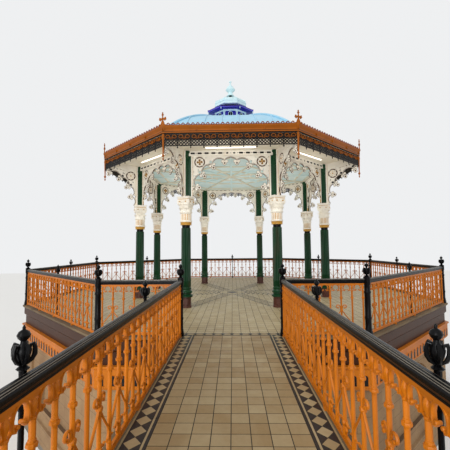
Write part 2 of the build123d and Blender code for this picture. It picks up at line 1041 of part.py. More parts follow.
write("base_floor", base_floor())
write("base_plinth", base_plinth())
write("base_walls", compound(around(base_wall())))
write("base_piers", compound(around(base_pier())))
write("base_cornice", base_cornice())
write("deck_fascia", deck_fascia())
write("deck_slab", deck_slab())
write("deck_kerb", deck_kerb())
write("deck_paving", deck_paving())
write("bridge_slab", bridge_slab())
write("bridge_girders", bridge_girders())
write("bridge_paving", bridge_paving())
write("bridge_kerbs", bridge_kerbs())
write("bridge_abutment", bridge_abutment())
whole_side = rail_between(side_start, side_end)
for k in range(1, SIDES):
    write(f"deck_rail_{side_names[k]}", raised(Rot(0, 0, TURN * k) * whole_side))
write("deck_rail_front", compound([raised(rail_between(*run)) for run in front_runs]))
for side, run in bridge_runs.items():
    write(f"bridge_rail_{side}", raised(rail_between(*run)))
deck_tops = [Rot(0, 0, TURN * k) * handrail_between(side_start, side_end) for k in range(1, SIDES)]
deck_tops += [handrail_between(*run) for run in front_runs]
write("deck_handrails", compound([raised(top) for top in deck_tops]))
write("bridge_handrails", compound([raised(handrail_between(*run)) for run in bridge_runs.values()]))
write("corner_newels", corner_newels())
write("gate_newels", gate_newels())
write("rail_standards", rail_standards())
write("column_plinths", column_plinths())
write("columns", columns())
write("capitals", capitals())
write("upper_posts", upper_posts())
write("arch_screens", compound(around(arch_screen())))
write("eaves_brackets", eaves_brackets())
write("arch_beam", arch_beam())
write("ceiling_panel", ceiling_panel())
write("ceiling_ribs", ceiling_ribs())
write("eaves_soffit", eaves_soffit())
write("light_fittings", light_fittings())
write("gutter", gutter())
write("eaves_valance", eaves_valance())
write("roof_cresting", roof_cresting())
write("corner_finials", corner_finials())
write("corner_drops", corner_drops())
write("main_dome", main_dome())
write("dome_hips", dome_hips())
write("lantern_base", lantern_base())
write("lantern_roof", lantern_roof())
write("lantern_cap", lantern_cap())
write("top_finial", top_finial())
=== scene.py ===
"""Looks of the octagonal bandstand: cast filigree, railings, tiled deck, sheeted dome. Metres, +Z up."""

import bpy
import numpy as np
from math import atan2, ceil, cos, hypot, pi, radians, sin, sqrt, tan
from mathutils import Euler, Matrix, Vector


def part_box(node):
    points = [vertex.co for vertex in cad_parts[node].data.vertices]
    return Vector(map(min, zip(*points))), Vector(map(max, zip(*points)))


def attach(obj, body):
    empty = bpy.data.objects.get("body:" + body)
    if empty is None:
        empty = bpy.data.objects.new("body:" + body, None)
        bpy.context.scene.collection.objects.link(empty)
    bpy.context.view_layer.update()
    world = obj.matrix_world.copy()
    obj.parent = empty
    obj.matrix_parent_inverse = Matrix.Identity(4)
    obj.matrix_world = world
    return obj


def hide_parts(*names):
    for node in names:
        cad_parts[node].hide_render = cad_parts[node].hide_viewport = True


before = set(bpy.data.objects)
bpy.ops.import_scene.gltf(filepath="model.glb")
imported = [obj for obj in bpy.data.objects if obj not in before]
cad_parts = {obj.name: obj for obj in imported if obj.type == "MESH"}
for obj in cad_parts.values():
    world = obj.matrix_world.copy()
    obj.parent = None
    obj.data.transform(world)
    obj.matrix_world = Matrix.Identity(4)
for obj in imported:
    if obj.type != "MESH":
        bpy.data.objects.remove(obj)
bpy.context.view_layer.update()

# The octagon
SIDES = 8
TURN = 2 * pi / SIDES
HALF_SIDE = tan(TURN / 2)
TO_CORNER = 1 / cos(TURN / 2)
SIDE_NAMES = ["front", "front_right", "right", "back_right", "back", "back_left", "left", "front_left"]

# Plan sizes, as in the solids
COLUMN_APOTHEM = 3.15
EAVES_APOTHEM = 4.28
VALANCE_APOTHEM = EAVES_APOTHEM - 0.056
RAIL_APOTHEM = 6.23
BRIDGE_HALF_RAIL = 0.98
BALUSTER_PITCH = 0.215
POST_WIDTH = 0.157
BEAM_HALF = 0.075
SOFFIT_END = 3.99
SOFFIT_DEPTH = 0.025

# How far the green posts reach along the brackets and the screens
POST_CASING = 0.1
POST_FIN = 0.15

# Levels, read from the solids
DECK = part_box("deck_paving")[1].z
CAPITAL_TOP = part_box("capitals")[1].z
CAPITAL_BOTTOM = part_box("capitals")[0].z
BEAM_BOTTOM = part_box("arch_beam")[0].z
BEAM_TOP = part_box("arch_beam")[1].z
GUTTER_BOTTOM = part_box("gutter")[0].z
GUTTER_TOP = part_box("gutter")[1].z
HANDRAIL_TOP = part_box("bridge_handrails")[1].z
HANDRAIL_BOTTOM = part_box("bridge_handrails")[0].z
DOME_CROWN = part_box("lantern_base")[0].z
LANTERN_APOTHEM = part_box("lantern_roof")[1].x
LANTERN_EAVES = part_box("lantern_roof")[0].z
CAP_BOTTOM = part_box("lantern_cap")[0].z
CAP_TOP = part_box("lantern_cap")[1].z
BRIDGE_END = -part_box("bridge_paving")[0].y
BRIDGE_RAIL_END = -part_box("bridge_rail_left")[0].y


# Colours and materials

MATERIALS = {}


def linear(red, green, blue):
    """A display colour as Blender's linear one."""
    def one(v):
        return v / 12.92 if v <= 0.04045 else ((v + 0.055) / 1.055) ** 2.4
    return (one(red), one(green), one(blue), 1.0)


def shade(colour, share):
    return tuple(min(1.0, c * share) for c in colour[:3]) + (1.0,)


class Nodes:
    """One material and its nodes, in the object's own space."""

    def __init__(self, name):
        material = bpy.data.materials.new(name)
        MATERIALS[name] = material
        material.use_nodes = True
        self.tree = material.node_tree
        self.tree.nodes.clear()
        out = self.tree.nodes.new("ShaderNodeOutputMaterial")
        self.shader = self.tree.nodes.new("ShaderNodeBsdfPrincipled")
        self.link(self.shader.outputs[0], out.inputs[0])
        self.place = self.tree.nodes.new("ShaderNodeTexCoord").outputs["Object"]

    def link(self, a, b):
        self.tree.links.new(a, b)

    def put(self, value, socket):
        """A number or a colour becomes the socket's own value, anything else a link to it."""
        if isinstance(value, (tuple, float, int)):
            socket.default_value = value
        else:
            self.link(value, socket)

    def node(self, kind, **values):
        node = self.tree.nodes.new(kind)
        for key, value in values.items():
            if key in node.inputs:
                node.inputs[key].default_value = value
            else:
                setattr(node, key, value)
        return node

    def noise(self, scale, detail, stretch=None):
        """Noise in object space, from 0 to 1."""
        node = self.node("ShaderNodeTexNoise", Scale=scale, Detail=detail, Roughness=0.55)
        source = self.place
        if stretch:
            mapping = self.node("ShaderNodeMapping", Scale=stretch)
            self.link(source, mapping.inputs["Vector"])
            source = mapping.outputs[0]
        self.link(source, node.inputs["Vector"])
        return node.outputs[0]

    def mix(self, share, a, b):
        node = self.node("ShaderNodeMix", data_type="RGBA")
        for value, index in ((share, 0), (a, 6), (b, 7)):
            self.put(value, node.inputs[index])
        return node.outputs[2]

    def range(self, source, low, high, to_low=0.0, to_high=1.0):
        limits = {"From Min": low, "From Max": high, "To Min": to_low, "To Max": to_high}
        node = self.node("ShaderNodeMapRange", **limits)
        self.link(source, node.inputs["Value"])
        return node.outputs[0]

    def patches(self, scale, detail, a, b):
        """Two tones in soft patches."""
        return self.mix(self.range(self.noise(scale, detail), 0.3, 0.7), a, b)

    def subtract(self, a, b):
        node = self.node("ShaderNodeMath", operation="SUBTRACT")
        self.link(a, node.inputs[0])
        self.link(b, node.inputs[1])
        return node.outputs[0]

    def courses(self, height, length, joint):
        """The joints between blocks laid in courses on upright faces, from 0 to 1."""
        normal = self.node("ShaderNodeNewGeometry").outputs["True Normal"]
        along = self.node("ShaderNodeVectorMath", operation="CROSS_PRODUCT")
        along.inputs[1].default_value = (0, 0, 1)
        self.link(normal, along.inputs[0])
        run = self.node("ShaderNodeVectorMath", operation="DOT_PRODUCT")
        self.link(along.outputs[0], run.inputs[0])
        self.link(self.place, run.inputs[1])
        split = self.node("ShaderNodeSeparateXYZ")
        self.link(self.place, split.inputs[0])
        flat = self.node("ShaderNodeCombineXYZ")
        self.link(run.outputs["Value"], flat.inputs[0])
        self.link(split.outputs[2], flat.inputs[1])
        sizes = {"Brick Width": length, "Row Height": height, "Mortar Size": joint / 2, "Mortar Smooth": 0.3}
        blocks = self.node("ShaderNodeTexBrick", Scale=1.0, **sizes)
        self.link(flat.outputs[0], blocks.inputs["Vector"])
        return blocks.outputs["Fac"]

    def bump(self, height, strength, distance):
        node = self.node("ShaderNodeBump", Strength=strength, Distance=distance)
        self.link(height, node.inputs["Height"])
        self.link(node.outputs[0], self.shader.inputs["Normal"])

    def finish(self, colour, roughness):
        self.put(colour, self.shader.inputs["Base Color"])
        self.put(roughness, self.shader.inputs["Roughness"])


def cast_paint(name, colour, dirt_and_reflection, wear=None, roughness=0.42, streak=0.35, gloss=0.5):
    """Brushed paint on cast iron: soft colour patches, streaks of grime (of painted red-brown reflection on
    the columns), wear specks, fine orange-peel.
    """
    n = Nodes(name)
    base = n.patches(2.2, 5, shade(colour, 0.84), shade(colour, 1.08))
    base = n.mix(n.range(n.noise(9, 6, (1, 1, 0.12)), 0.52, 0.78, 0.0, streak), base, dirt_and_reflection)
    base = n.mix(n.range(n.noise(46, 5), 0.68, 0.8), base, wear or shade(dirt_and_reflection, 1.2))
    fine = n.noise(160, 3)
    n.bump(fine, 0.12, 0.002)
    n.put(gloss, n.shader.inputs["Specular IOR Level"])
    n.finish(base, n.range(fine, 0.2, 0.8, roughness - 0.08, roughness + 0.1))


def sheet_metal(name, colour, stain):
    """Painted lead sheets, a little rippled and streaked."""
    n = Nodes(name)
    base = n.patches(0.9, 4, shade(colour, 0.9), shade(colour, 1.08))
    base = n.mix(n.range(n.noise(7, 6, (1, 1, 0.15)), 0.55, 0.8, 0.0, 0.4), base, stain)
    ripple = n.noise(5, 3)
    n.bump(ripple, 0.18, 0.02)
    n.finish(base, n.range(ripple, 0.3, 0.7, 0.32, 0.46))


def stone(name, colour, dark, course=0.0):
    """Fine-grained masonry, in courses of blocks if asked."""
    n = Nodes(name)
    grain = n.noise(38, 8)
    base = n.patches(1.3, 6, colour, dark)
    base = n.mix(n.range(grain, 0.35, 0.7, 0.0, 0.35), base, shade(dark, 0.7))
    height = grain
    if course:
        joints = n.courses(course, course * 2.2, 0.009)
        base = n.mix(joints, base, shade(dark, 0.5))
        height = n.subtract(grain, joints)
    n.bump(height, 0.25, 0.006)
    n.finish(base, 0.85)


def flat_paint(name, patch, grain, relief, light, dark):
    """Flat paint in soft patches, for the soffit and the ceiling."""
    n = Nodes(name)
    n.bump(n.noise(grain, 4), relief, 0.002)
    n.finish(n.patches(patch, 4, light, dark), 0.55)


def lamp_glass(name):
    """A frosted tube, alight."""
    n = Nodes(name)
    n.bump(n.noise(30, 2), 0.04, 0.001)
    n.put((1.0, 0.97, 0.92, 1.0), n.shader.inputs["Emission Color"])
    n.put(2.0, n.shader.inputs["Emission Strength"])
    n.finish(n.mix(n.noise(4, 2), linear(0.97, 0.96, 0.93), linear(1.0, 0.99, 0.97)), 0.25)


def tile(name, colour, dark):
    """Fired tile: each one its own tone, mottled and a little worn."""
    n = Nodes(name)
    base = n.mix(n.node("ShaderNodeAttribute", attribute_name="tone").outputs["Fac"], colour, dark)
    base = n.mix(n.range(n.noise(24, 7), 0.35, 0.75, 0.0, 0.22), base, shade(dark, 0.8))
    scuffs = n.range(n.noise(3.2, 8, (1, 0.4, 1)), 0.5, 0.85, 0.0, 0.25)
    base = n.mix(scuffs, base, shade(colour, 1.25))
    n.bump(n.noise(90, 4), 0.15, 0.002)
    n.finish(base, n.range(n.noise(6, 4), 0.3, 0.7, 0.42, 0.62))


# Paints, as display colours
ORANGE = linear(0.74, 0.41, 0.02)
CREAM = linear(0.98, 0.95, 0.90)
CREAM_WARM = linear(0.93, 0.87, 0.76)
GREEN = linear(0.015, 0.25, 0.12)
SKY = linear(0.60, 0.80, 0.90)

cast_paint("rail_orange", ORANGE, linear(0.45, 0.19, 0.02), linear(0.88, 0.56, 0.14), gloss=0.25)
cast_paint("band_orange", ORANGE, linear(0.48, 0.22, 0.04), gloss=0.2)
cast_paint(
    "eaves_orange", linear(0.60, 0.32, 0.01), linear(0.36, 0.17, 0.02), linear(0.70, 0.38, 0.05), gloss=0.2
)
cast_paint("cresting_red", linear(0.50, 0.20, 0.03), linear(0.30, 0.08, 0.02), gloss=0.2)
cast_paint(
    "rail_black", linear(0.03, 0.03, 0.035), linear(0.045, 0.04, 0.04), linear(0.06, 0.055, 0.05),
    roughness=0.3, gloss=0.12,
)
# Light grey for the handrail's painted highlights.
cast_paint("rail_ridge", linear(0.50, 0.48, 0.44), linear(0.3, 0.29, 0.27), roughness=0.25)
# Near-black for painted shade in the eaves' lace, the gutter's groove and the frieze's slots, and for the
# beams' dark cores.
cast_paint("valance_dark", linear(0.06, 0.04, 0.03), linear(0.03, 0.02, 0.02), gloss=0.2)
cast_paint("steel_dark", linear(0.20, 0.17, 0.15), linear(0.10, 0.08, 0.07))
# The columns' green is darker than the posts' and streaked red-brown: painted shade and painted red-brown
# reflections on the shafts.
cast_paint("column_green", shade(GREEN, 0.7), linear(0.26, 0.10, 0.04), roughness=0.34, streak=0.5, gloss=0.3)
cast_paint("post_green", GREEN, linear(0.03, 0.11, 0.06), roughness=0.34, gloss=0.3)
cast_paint("capital_cream", CREAM, CREAM_WARM, roughness=0.45)
cast_paint("capital_gold", linear(0.78, 0.58, 0.22), linear(0.50, 0.35, 0.12), roughness=0.35)
cast_paint("filigree_cream", CREAM, CREAM_WARM, roughness=0.45)
# Brown for the filigree's painted shadows round rings, lobes and edges, and for the medallions' dark
# backings.
cast_paint("filigree_brown", linear(0.33, 0.21, 0.10), linear(0.2, 0.12, 0.06), gloss=0.2)
cast_paint("tracery_cream", linear(0.87, 0.86, 0.79), linear(0.80, 0.76, 0.66), roughness=0.5)
cast_paint("plinth_brown", linear(0.33, 0.17, 0.12), linear(0.14, 0.08, 0.06))
cast_paint(
    "fascia_brown", linear(0.24, 0.12, 0.04), linear(0.08, 0.04, 0.03), linear(0.34, 0.17, 0.06), gloss=0.15
)
cast_paint("lantern_blue", linear(0.13, 0.13, 0.62), linear(0.06, 0.06, 0.30), roughness=0.3)
cast_paint("lantern_violet", linear(0.42, 0.36, 0.86), linear(0.2, 0.16, 0.55), roughness=0.3)
cast_paint("finial_pale", linear(0.82, 0.93, 0.95), SKY, roughness=0.35)
sheet_metal("dome_blue", SKY, linear(0.44, 0.62, 0.72))
stone("masonry", linear(0.64, 0.52, 0.37), linear(0.50, 0.38, 0.26), 0.3)
stone("concrete", linear(0.55, 0.52, 0.47), linear(0.42, 0.39, 0.35))
stone("kerb_stone", linear(0.50, 0.42, 0.30), linear(0.33, 0.27, 0.19))
stone("tile_joint", linear(0.17, 0.13, 0.09), linear(0.11, 0.09, 0.06))
tile("tile_paving", linear(0.70, 0.64, 0.50), linear(0.54, 0.44, 0.28))
tile("tile_dark", linear(0.09, 0.075, 0.06), linear(0.05, 0.045, 0.04))
flat_paint("soffit_cream", 1.5, 60, 0.08, linear(0.93, 0.89, 0.80), linear(0.97, 0.95, 0.89))
flat_paint("ceiling_blue", 1.1, 50, 0.06, linear(0.78, 0.89, 0.90), linear(0.87, 0.94, 0.94))
lamp_glass("light_white")


# Outlines in a plane

def moved(outline, across, up):
    return [(x + across, y + up) for x, y in outline]


def scaled(outline, across, up):
    return [(x * across, y * up) for x, y in outline]


def handed(outline, side, up=0.0):
    """An outline drawn for the right hand, raised, and mirrored where side is -1."""
    return [(side * x, y + up) for x, y in outline]


def symmetric(right, middle=()):
    """A right half, the points on the middle line, and the mirrored left half."""
    return right + list(middle) + [(-x, y) for x, y in reversed(right)]


def rectangle(x0, x1, y0, y1):
    return [(x0, y0), (x1, y0), (x1, y1), (x0, y1)]


def eased_square(flat, half_wide, half_deep):
    """A rectangle with its corners taken off; flat is the share of each edge that stays."""
    ring = [(1, flat), (flat, 1), (-flat, 1), (-1, flat), (-1, -flat), (-flat, -1), (flat, -1), (1, -flat)]
    return scaled(ring, half_wide, half_deep)


def polar(x, y, radius, angle):
    return (x + radius * cos(angle), y + radius * sin(angle))


def circle(x, y, radius, count=16):
    return [polar(x, y, radius, 2 * pi * k / count) for k in range(count)]


def spiral(x, y, outer, inner, start, end, count):
    """Points on a spiral that closes in from outer to inner radius, angles in degrees."""
    shares = [k / count for k in range(count + 1)]
    return [polar(x, y, outer + (inner - outer) * s, radians(start + (end - start) * s)) for s in shares]


def arc(x, y, radius, start, end, count):
    return spiral(x, y, radius, radius, start, end, count)


# Mesh parts: points, the corners of every face in one run, and each face's corner count

class Part:
    def __init__(self, points, loops, counts, smooth=False):
        self.points = np.asarray(points, float).reshape(-1, 3)
        self.loops = np.asarray(loops, int)
        self.counts = np.asarray(counts, int)
        self.smooth = np.full(len(self.counts), smooth)
        self.material = np.zeros(len(self.counts), int)


def part_of(points, faces, smooth=False):
    loops = [corner for face in faces for corner in face]
    return Part(points, loops, [len(face) for face in faces], smooth)


def join(*parts):
    """Several parts, each alone or as (part, matrix), as one part."""
    points, loops, counts, smooth, material, start = [], [], [], [], [], 0
    for entry in parts:
        part, matrix = entry if isinstance(entry, tuple) else (entry, None)
        moved_points = part.points
        if matrix is not None:
            turned = np.array(matrix)
            moved_points = moved_points @ turned[:3, :3].T + turned[:3, 3]
        points.append(moved_points)
        loops.append(part.loops + start)
        counts.append(part.counts)
        smooth.append(part.smooth)
        material.append(part.material)
        start += len(moved_points)
    whole = Part(np.concatenate(points), np.concatenate(loops), np.concatenate(counts))
    whole.smooth = np.concatenate(smooth)
    whole.material = np.concatenate(material)
    return whole


def painted(*groups):
    """Lists of parts as one part, each list in its own material."""
    wholes = []
    for index, group in enumerate(groups):
        whole = join(*group)
        whole.material = np.full(len(whole.counts), index, int)
        wholes.append(whole)
    return join(*wholes)


def piece(name, part, slots, replaces=(), tone=None):
    """The part as an object that rides on the body, in its materials."""
    mesh = bpy.data.meshes.new(name)
    mesh.vertices.add(len(part.points))
    mesh.vertices.foreach_set("co", part.points.astype(np.float32).ravel())
    mesh.loops.add(len(part.loops))
    mesh.loops.foreach_set("vertex_index", part.loops.astype(np.int32))
    mesh.polygons.add(len(part.counts))
    starts = np.concatenate([[0], np.cumsum(part.counts)[:-1]]).astype(np.int32)
    mesh.polygons.foreach_set("loop_start", starts)
    mesh.polygons.foreach_set("material_index", part.material.astype(np.int32))
    mesh.polygons.foreach_set("use_smooth", part.smooth)
    mesh.update(calc_edges=True)
    if part.smooth.any():
        mesh.set_sharp_from_angle(angle=radians(42))
    if tone is not None:
        layer = mesh.attributes.new("tone", "FLOAT", "FACE")
        layer.data.foreach_set("value", tone.astype(np.float32))
    for key in slots:
        mesh.materials.append(MATERIALS[key])
    obj = bpy.data.objects.new(name, mesh)
    bpy.context.scene.collection.objects.link(obj)
    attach(obj, "root")
    if replaces:
        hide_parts(*replaces)


def prism(rings, smooth=False):
    """A skin through a list of equal rings of points, closed at both ends."""
    points = [p for ring in rings for p in ring]
    count, last = len(rings[0]), len(rings) - 1
    faces = []
    for low in range(0, last * count, count):
        for k in range(count):
            j = (k + 1) % count
            faces.append((low + k, low + j, low + count + j, low + count + k))
    faces.append(tuple(reversed(range(count))))
    faces.append(tuple(range(last * count, len(points))))
    return part_of(points, faces, smooth)


def stood(outline, low, high):
    """An outline in plan, drawn up from one level to another."""
    return prism([[(x, y, z) for x, y in outline] for z in (low, high)])


def block(x0, x1, y0, y1, z0, z1):
    return stood(rectangle(x0, x1, y0, y1), z0, z1)


def bar(section, start, end, level=0.0):
    """A bar along X; the section is given across and up."""
    return prism([[(x, y, level + z) for y, z in section] for x in (start, end)])


def lathe(profile, sides=12, smooth=True, turn=0.0, flutes=None):
    """Levels (radius, height) turned about Z; flutes(angle) scales the radius."""
    rings = []
    for radius, height in profile:
        ring = []
        for k in range(sides):
            angle = turn + 2 * pi * k / sides
            r = radius * (flutes(angle) if flutes else 1)
            ring.append((r * cos(angle), r * sin(angle), height))
        rings.append(ring)
    return prism(rings, smooth)


def octagonal(levels):
    """A stack of octagons given as (apothem, height)."""
    return lathe([(a * TO_CORNER, z) for a, z in levels], SIDES, False, TURN / 2)


def square_stack(levels):
    """Squares given as (half width, height), with slightly eased corners."""
    rings = []
    for half, z in levels:
        rings.append([(x, y, z) for x, y in eased_square(0.9, half, half)])
    return prism(rings)


# Sections of cast bars, as shares of their width and depth
FLAT = [(-0.5, -0.5), (0.5, -0.5), (0.5, 0.5), (-0.5, 0.5)]
BOTH = [(-0.5, 0.0), (-0.28, -0.5), (0.28, -0.5), (0.5, 0.0), (0.28, 0.5), (-0.28, 0.5)]
ROUNDED = [(-0.5, 0.3), (-0.5, -0.3), (-0.2, -0.5), (0.2, -0.5), (0.5, -0.3), (0.5, 0.3), (0.2, 0.5)]
ROUNDED += [(-0.2, 0.5)]


def stroke(path, width, depth, section=BOTH, closed=False):
    """A bar drawn along a path in the plane: width may be one number or one for each point."""
    count = len(path)
    widths = width if isinstance(width, list) else [width] * count
    points = []
    for k, (x, y) in enumerate(path):
        before = path[k - 1] if (k or closed) else path[k]
        after = path[(k + 1) % count] if (k < count - 1 or closed) else path[k]
        dx, dy = after[0] - before[0], after[1] - before[1]
        size = hypot(dx, dy) or 1
        nx, ny = dy / size, -dx / size
        points += [(x + nx * a * widths[k], y + ny * a * widths[k], b * depth) for a, b in section]
    size = len(section)
    faces = []
    for level in range(count if closed else count - 1):
        low, high = level * size, ((level + 1) % count) * size
        for k in range(size):
            j = (k + 1) % size
            faces.append((low + j, low + k, high + k, high + j))
    if not closed:
        faces.append(tuple(range(size)))
        faces.append(tuple(reversed(range((count - 1) * size, count * size))))
    return part_of(points, faces)


def disc(x, y, radius, depth, sides=10, dome=0.0):
    """A round boss, flat or domed on both faces."""
    levels = [(radius, -depth / 2), (radius, depth / 2)]
    if dome:
        levels = [(radius * 0.8, -depth / 2 - dome)] + levels + [(radius * 0.8, depth / 2 + dome)]
    return prism([[(a, b, z) for a, b in circle(x, y, r, sides)] for r, z in levels])


def annulus(x, y, outer, inner, depth, sides=14, section=ROUNDED):
    """A ring with a hole through it."""
    return stroke(circle(x, y, (outer + inner) / 2, sides), outer - inner, depth, section, True)


def plate(outlines, depth, bevel=0.0):
    """A plate in the plane with the first outline as its edge and the rest as holes."""
    curve = bpy.data.curves.new("plate", "CURVE")
    curve.dimensions = "2D"
    curve.fill_mode = "BOTH"
    curve.extrude = depth / 2 - bevel
    curve.bevel_depth = bevel
    curve.bevel_resolution = 0
    curve.offset = -bevel
    for outline in outlines:
        spline = curve.splines.new("POLY")
        spline.points.add(len(outline) - 1)
        spline.use_cyclic_u = True
        for point, (x, y) in zip(spline.points, outline):
            point.co = (x, y, 0, 1)
    obj = bpy.data.objects.new("plate", curve)
    bpy.context.scene.collection.objects.link(obj)
    bpy.context.view_layer.update()
    mesh = bpy.data.meshes.new_from_object(obj.evaluated_get(bpy.context.evaluated_depsgraph_get()))
    points = [tuple(v.co) for v in mesh.vertices]
    faces = [tuple(p.vertices) for p in mesh.polygons]
    bpy.data.objects.remove(obj)
    bpy.data.curves.remove(curve)
    bpy.data.meshes.remove(mesh)
    return part_of(points, faces)


# Placing: a drawing in the plane (along, up, out) is stood on a side or in a corner plane

UPRIGHT = Matrix(((1, 0, 0, 0), (0, 0, -1, 0), (0, 1, 0, 0), (0, 0, 0, 1)))


def spin(angle):
    return Matrix.Rotation(angle, 4, "Z")


def shift(x, y, z):
    return Matrix.Translation((x, y, z))


def around(part, count, inner, start=0.0):
    """Copies of a part, equally spaced round the Z axis."""
    return [(part, spin(start + 2 * pi * k / count) @ inner) for k in range(count)]


def on_sides(part, apothem, z=0.0):
    return join(*around(part, SIDES, shift(0, -apothem, z) @ UPRIGHT))


def corner_turn(k):
    return spin(-pi / 2 + TURN / 2 + TURN * k)


def corner_spot(k, apothem, z):
    return corner_turn(k) @ shift(apothem * TO_CORNER, 0, z)


def at_corners(part, apothem, z, lie=Matrix()):
    return join(*[(part, corner_spot(k, apothem, z) @ lie) for k in range(SIDES)])


def mitred(profile):
    """A closed profile of (apothem, height) run round the octagon and mitred at the corners."""
    points, faces = [], []
    count = len(profile)
    for k in range(SIDES):
        angle = -pi / 2 + TURN / 2 + TURN * k
        points += [(*polar(0, 0, a * TO_CORNER, angle), z) for a, z in profile]
        low, high = k * count, ((k + 1) % SIDES) * count
        for i in range(count):
            j = (i + 1) % count
            faces.append((low + i, high + i, high + j, low + j))
    return part_of(points, faces)


# Railings

PANEL_CLEAR = 0.03
BOTTOM_RAIL = 0.045
PANEL_TOP = HANDRAIL_BOTTOM - DECK
RAIL_TOP = HANDRAIL_TOP - DECK
ARCH_CROWN = PANEL_TOP - 0.024
KNOB_FOOT = PANEL_TOP - 0.135
COLLAR = PANEL_TOP - 0.275
SCROLL_NODE = 0.5
SCROLL_DEPTH = 0.02
FOOT_SPACING = 1.3
HANDRAIL_HALF = 0.039
NEWEL_HALF = 0.06
GATE_HALF = 0.048
BRIDGE_BAYS = 3


def squared(half_wide, half_deep, low, high):
    """A squared shaft with its edges taken off."""
    return stood(eased_square(0.3, half_wide, half_deep), low, high)


def plain_baluster():
    """Foot, squared shaft, a collar, a short neck shaft, and a pear-shaped knob on a saddle."""
    foot = PANEL_CLEAR + BOTTOM_RAIL
    collar = [(0.017, -0.03), (0.02, -0.012), (0.029, -0.01), (0.031, 0), (0.029, 0.01), (0.022, 0.013)]
    collar += [(0.022, 0.024), (0.016, 0.03)]
    knob = [(0.02, -0.016), (0.023, -0.008), (0.012, 0), (0.013, 0.014), (0.021, 0.04), (0.0235, 0.058)]
    knob += [(0.02, 0.078), (0.009, 0.094), (0.009, ARCH_CROWN - KNOB_FOOT + 0.005)]
    return join(
        squared(0.021, 0.021, foot, foot + 0.05),
        squared(0.0145, 0.0165, foot + 0.045, COLLAR),
        squared(0.0155, 0.0175, COLLAR, KNOB_FOOT),
        lathe(moved(collar, 0, COLLAR), 8),
        lathe(moved(knob, 0, KNOB_FOOT), 8),
    )


def arch_head(pitch):
    """A barred round head between two balusters, its ends curled in to small balls."""
    half = 0.061
    right = [(0.03, 0.008), (0.04, -0.008), (0.054, -0.002), (half, 0.02), (half + 0.001, 0.05)]
    right += [(half - 0.008, 0.08), (half - 0.025, 0.1)]
    right = moved(right, 0, KNOB_FOOT) + [(0.016, ARCH_CROWN - 0.002)]
    widths = [0.011, 0.014, 0.017] + [0.019] * 11 + [0.017, 0.014, 0.011]
    parts = [stroke(symmetric(right, [(0, ARCH_CROWN)]), widths, 0.028)]
    for side in (-1, 1):
        parts.append(disc(side * 0.0265, KNOB_FOOT + 0.011, 0.0115, 0.026, 8, dome=0.004))
        tie = handed([(half - 0.002, 0.004), (pitch / 2 - 0.012, -0.012)], side, KNOB_FOOT)
        parts.append(stroke(tie, 0.012, 0.022))
        horn = [(half - 0.02, -0.014), (pitch / 2, -0.03), (pitch / 2, 0.006), (half - 0.03, 0.006)]
        parts.append(plate([handed(horn, side, ARCH_CROWN)], 0.018))
    return join(*parts)


def decoration(pitch):
    """Two curled arms on a node, legs that run to the neighbours, and a leaf pair at the foot."""
    arm = [(0.006, -0.05), (0.014, -0.01), (0.024, 0.03)] + spiral(0.069, 0.036, 0.043, 0.016, 160, -100, 10)
    arm_widths = [0.018, 0.021, 0.021] + [0.02] * 6 + [0.017, 0.015, 0.012, 0.009, 0.008]
    leg = [(0.004, 0.012), (0.02, -0.045), (0.062, -0.105), (0.125, -0.18), (pitch - 0.032, -0.24)]
    leg += [(pitch - 0.017, -0.29), (pitch - 0.03, -0.335), (pitch - 0.07, -0.34)]
    leg_widths = [0.014, 0.02, 0.019, 0.018, 0.019, 0.02, 0.018, 0.01]
    leaf = [(0.012, 0.165), (0.05, 0.188), (0.085, 0.17), (0.112, 0.186)]
    bud = [(0.018, 0.09), (0.045, 0.125), (0.03, 0.15)]
    parts = []
    for side in (-1, 1):
        curled = handed(arm, side, SCROLL_NODE)
        parts.append(stroke(curled, arm_widths, SCROLL_DEPTH))
        parts.append(disc(*curled[-1], 0.015, 0.026, 8, dome=0.003))
        parts.append(stroke(handed(leg, side, SCROLL_NODE), leg_widths, SCROLL_DEPTH))
        parts.append(stroke(handed(leaf, side), [0.022, 0.034, 0.026, 0.006], SCROLL_DEPTH))
        parts.append(stroke(handed(bud, side), [0.018, 0.014, 0.006], SCROLL_DEPTH - 0.002))
    parts.append(disc(0, SCROLL_NODE - 0.02, 0.025, 0.034, 8, dome=0.006))
    parts.append(disc(0, 0.175, 0.024, 0.034, 8, dome=0.006))
    return join(*parts)


def cast_panel(length):
    """A run of railing from x = 0 to length, standing on z = 0."""
    bays = max(1, round((length - 0.08) / BALUSTER_PITCH))
    start = 0.025
    pitch = (length - 2 * start) / bays
    baluster, head, extra = plain_baluster(), arch_head(pitch), decoration(pitch)
    parts = [(baluster, shift(start + k * pitch, 0, 0)) for k in range(bays + 1)]
    parts += [(head, shift(start + (k + 0.5) * pitch, 0, 0) @ UPRIGHT) for k in range(bays)]
    parts += [(extra, shift(start + k * pitch, 0, 0) @ UPRIGHT) for k in range(1, bays, 2)]
    step = PANEL_CLEAR + BOTTOM_RAIL * 0.55
    parts.append(block(0, length, -0.02, 0.02, PANEL_CLEAR, step))
    parts.append(block(0, length, -0.013, 0.013, step, PANEL_CLEAR + BOTTOM_RAIL))
    parts.append(block(0, length, -0.015, 0.015, ARCH_CROWN, PANEL_TOP + 0.004))
    feet = max(2, round(length / FOOT_SPACING) + 1)
    half = 0.03
    for k in range(feet):
        x = half + (length - 2 * half) * k / (feet - 1)
        parts.append(block(x - half, x + half, -0.026, 0.026, 0, PANEL_CLEAR + 0.012))
    return join(*parts)


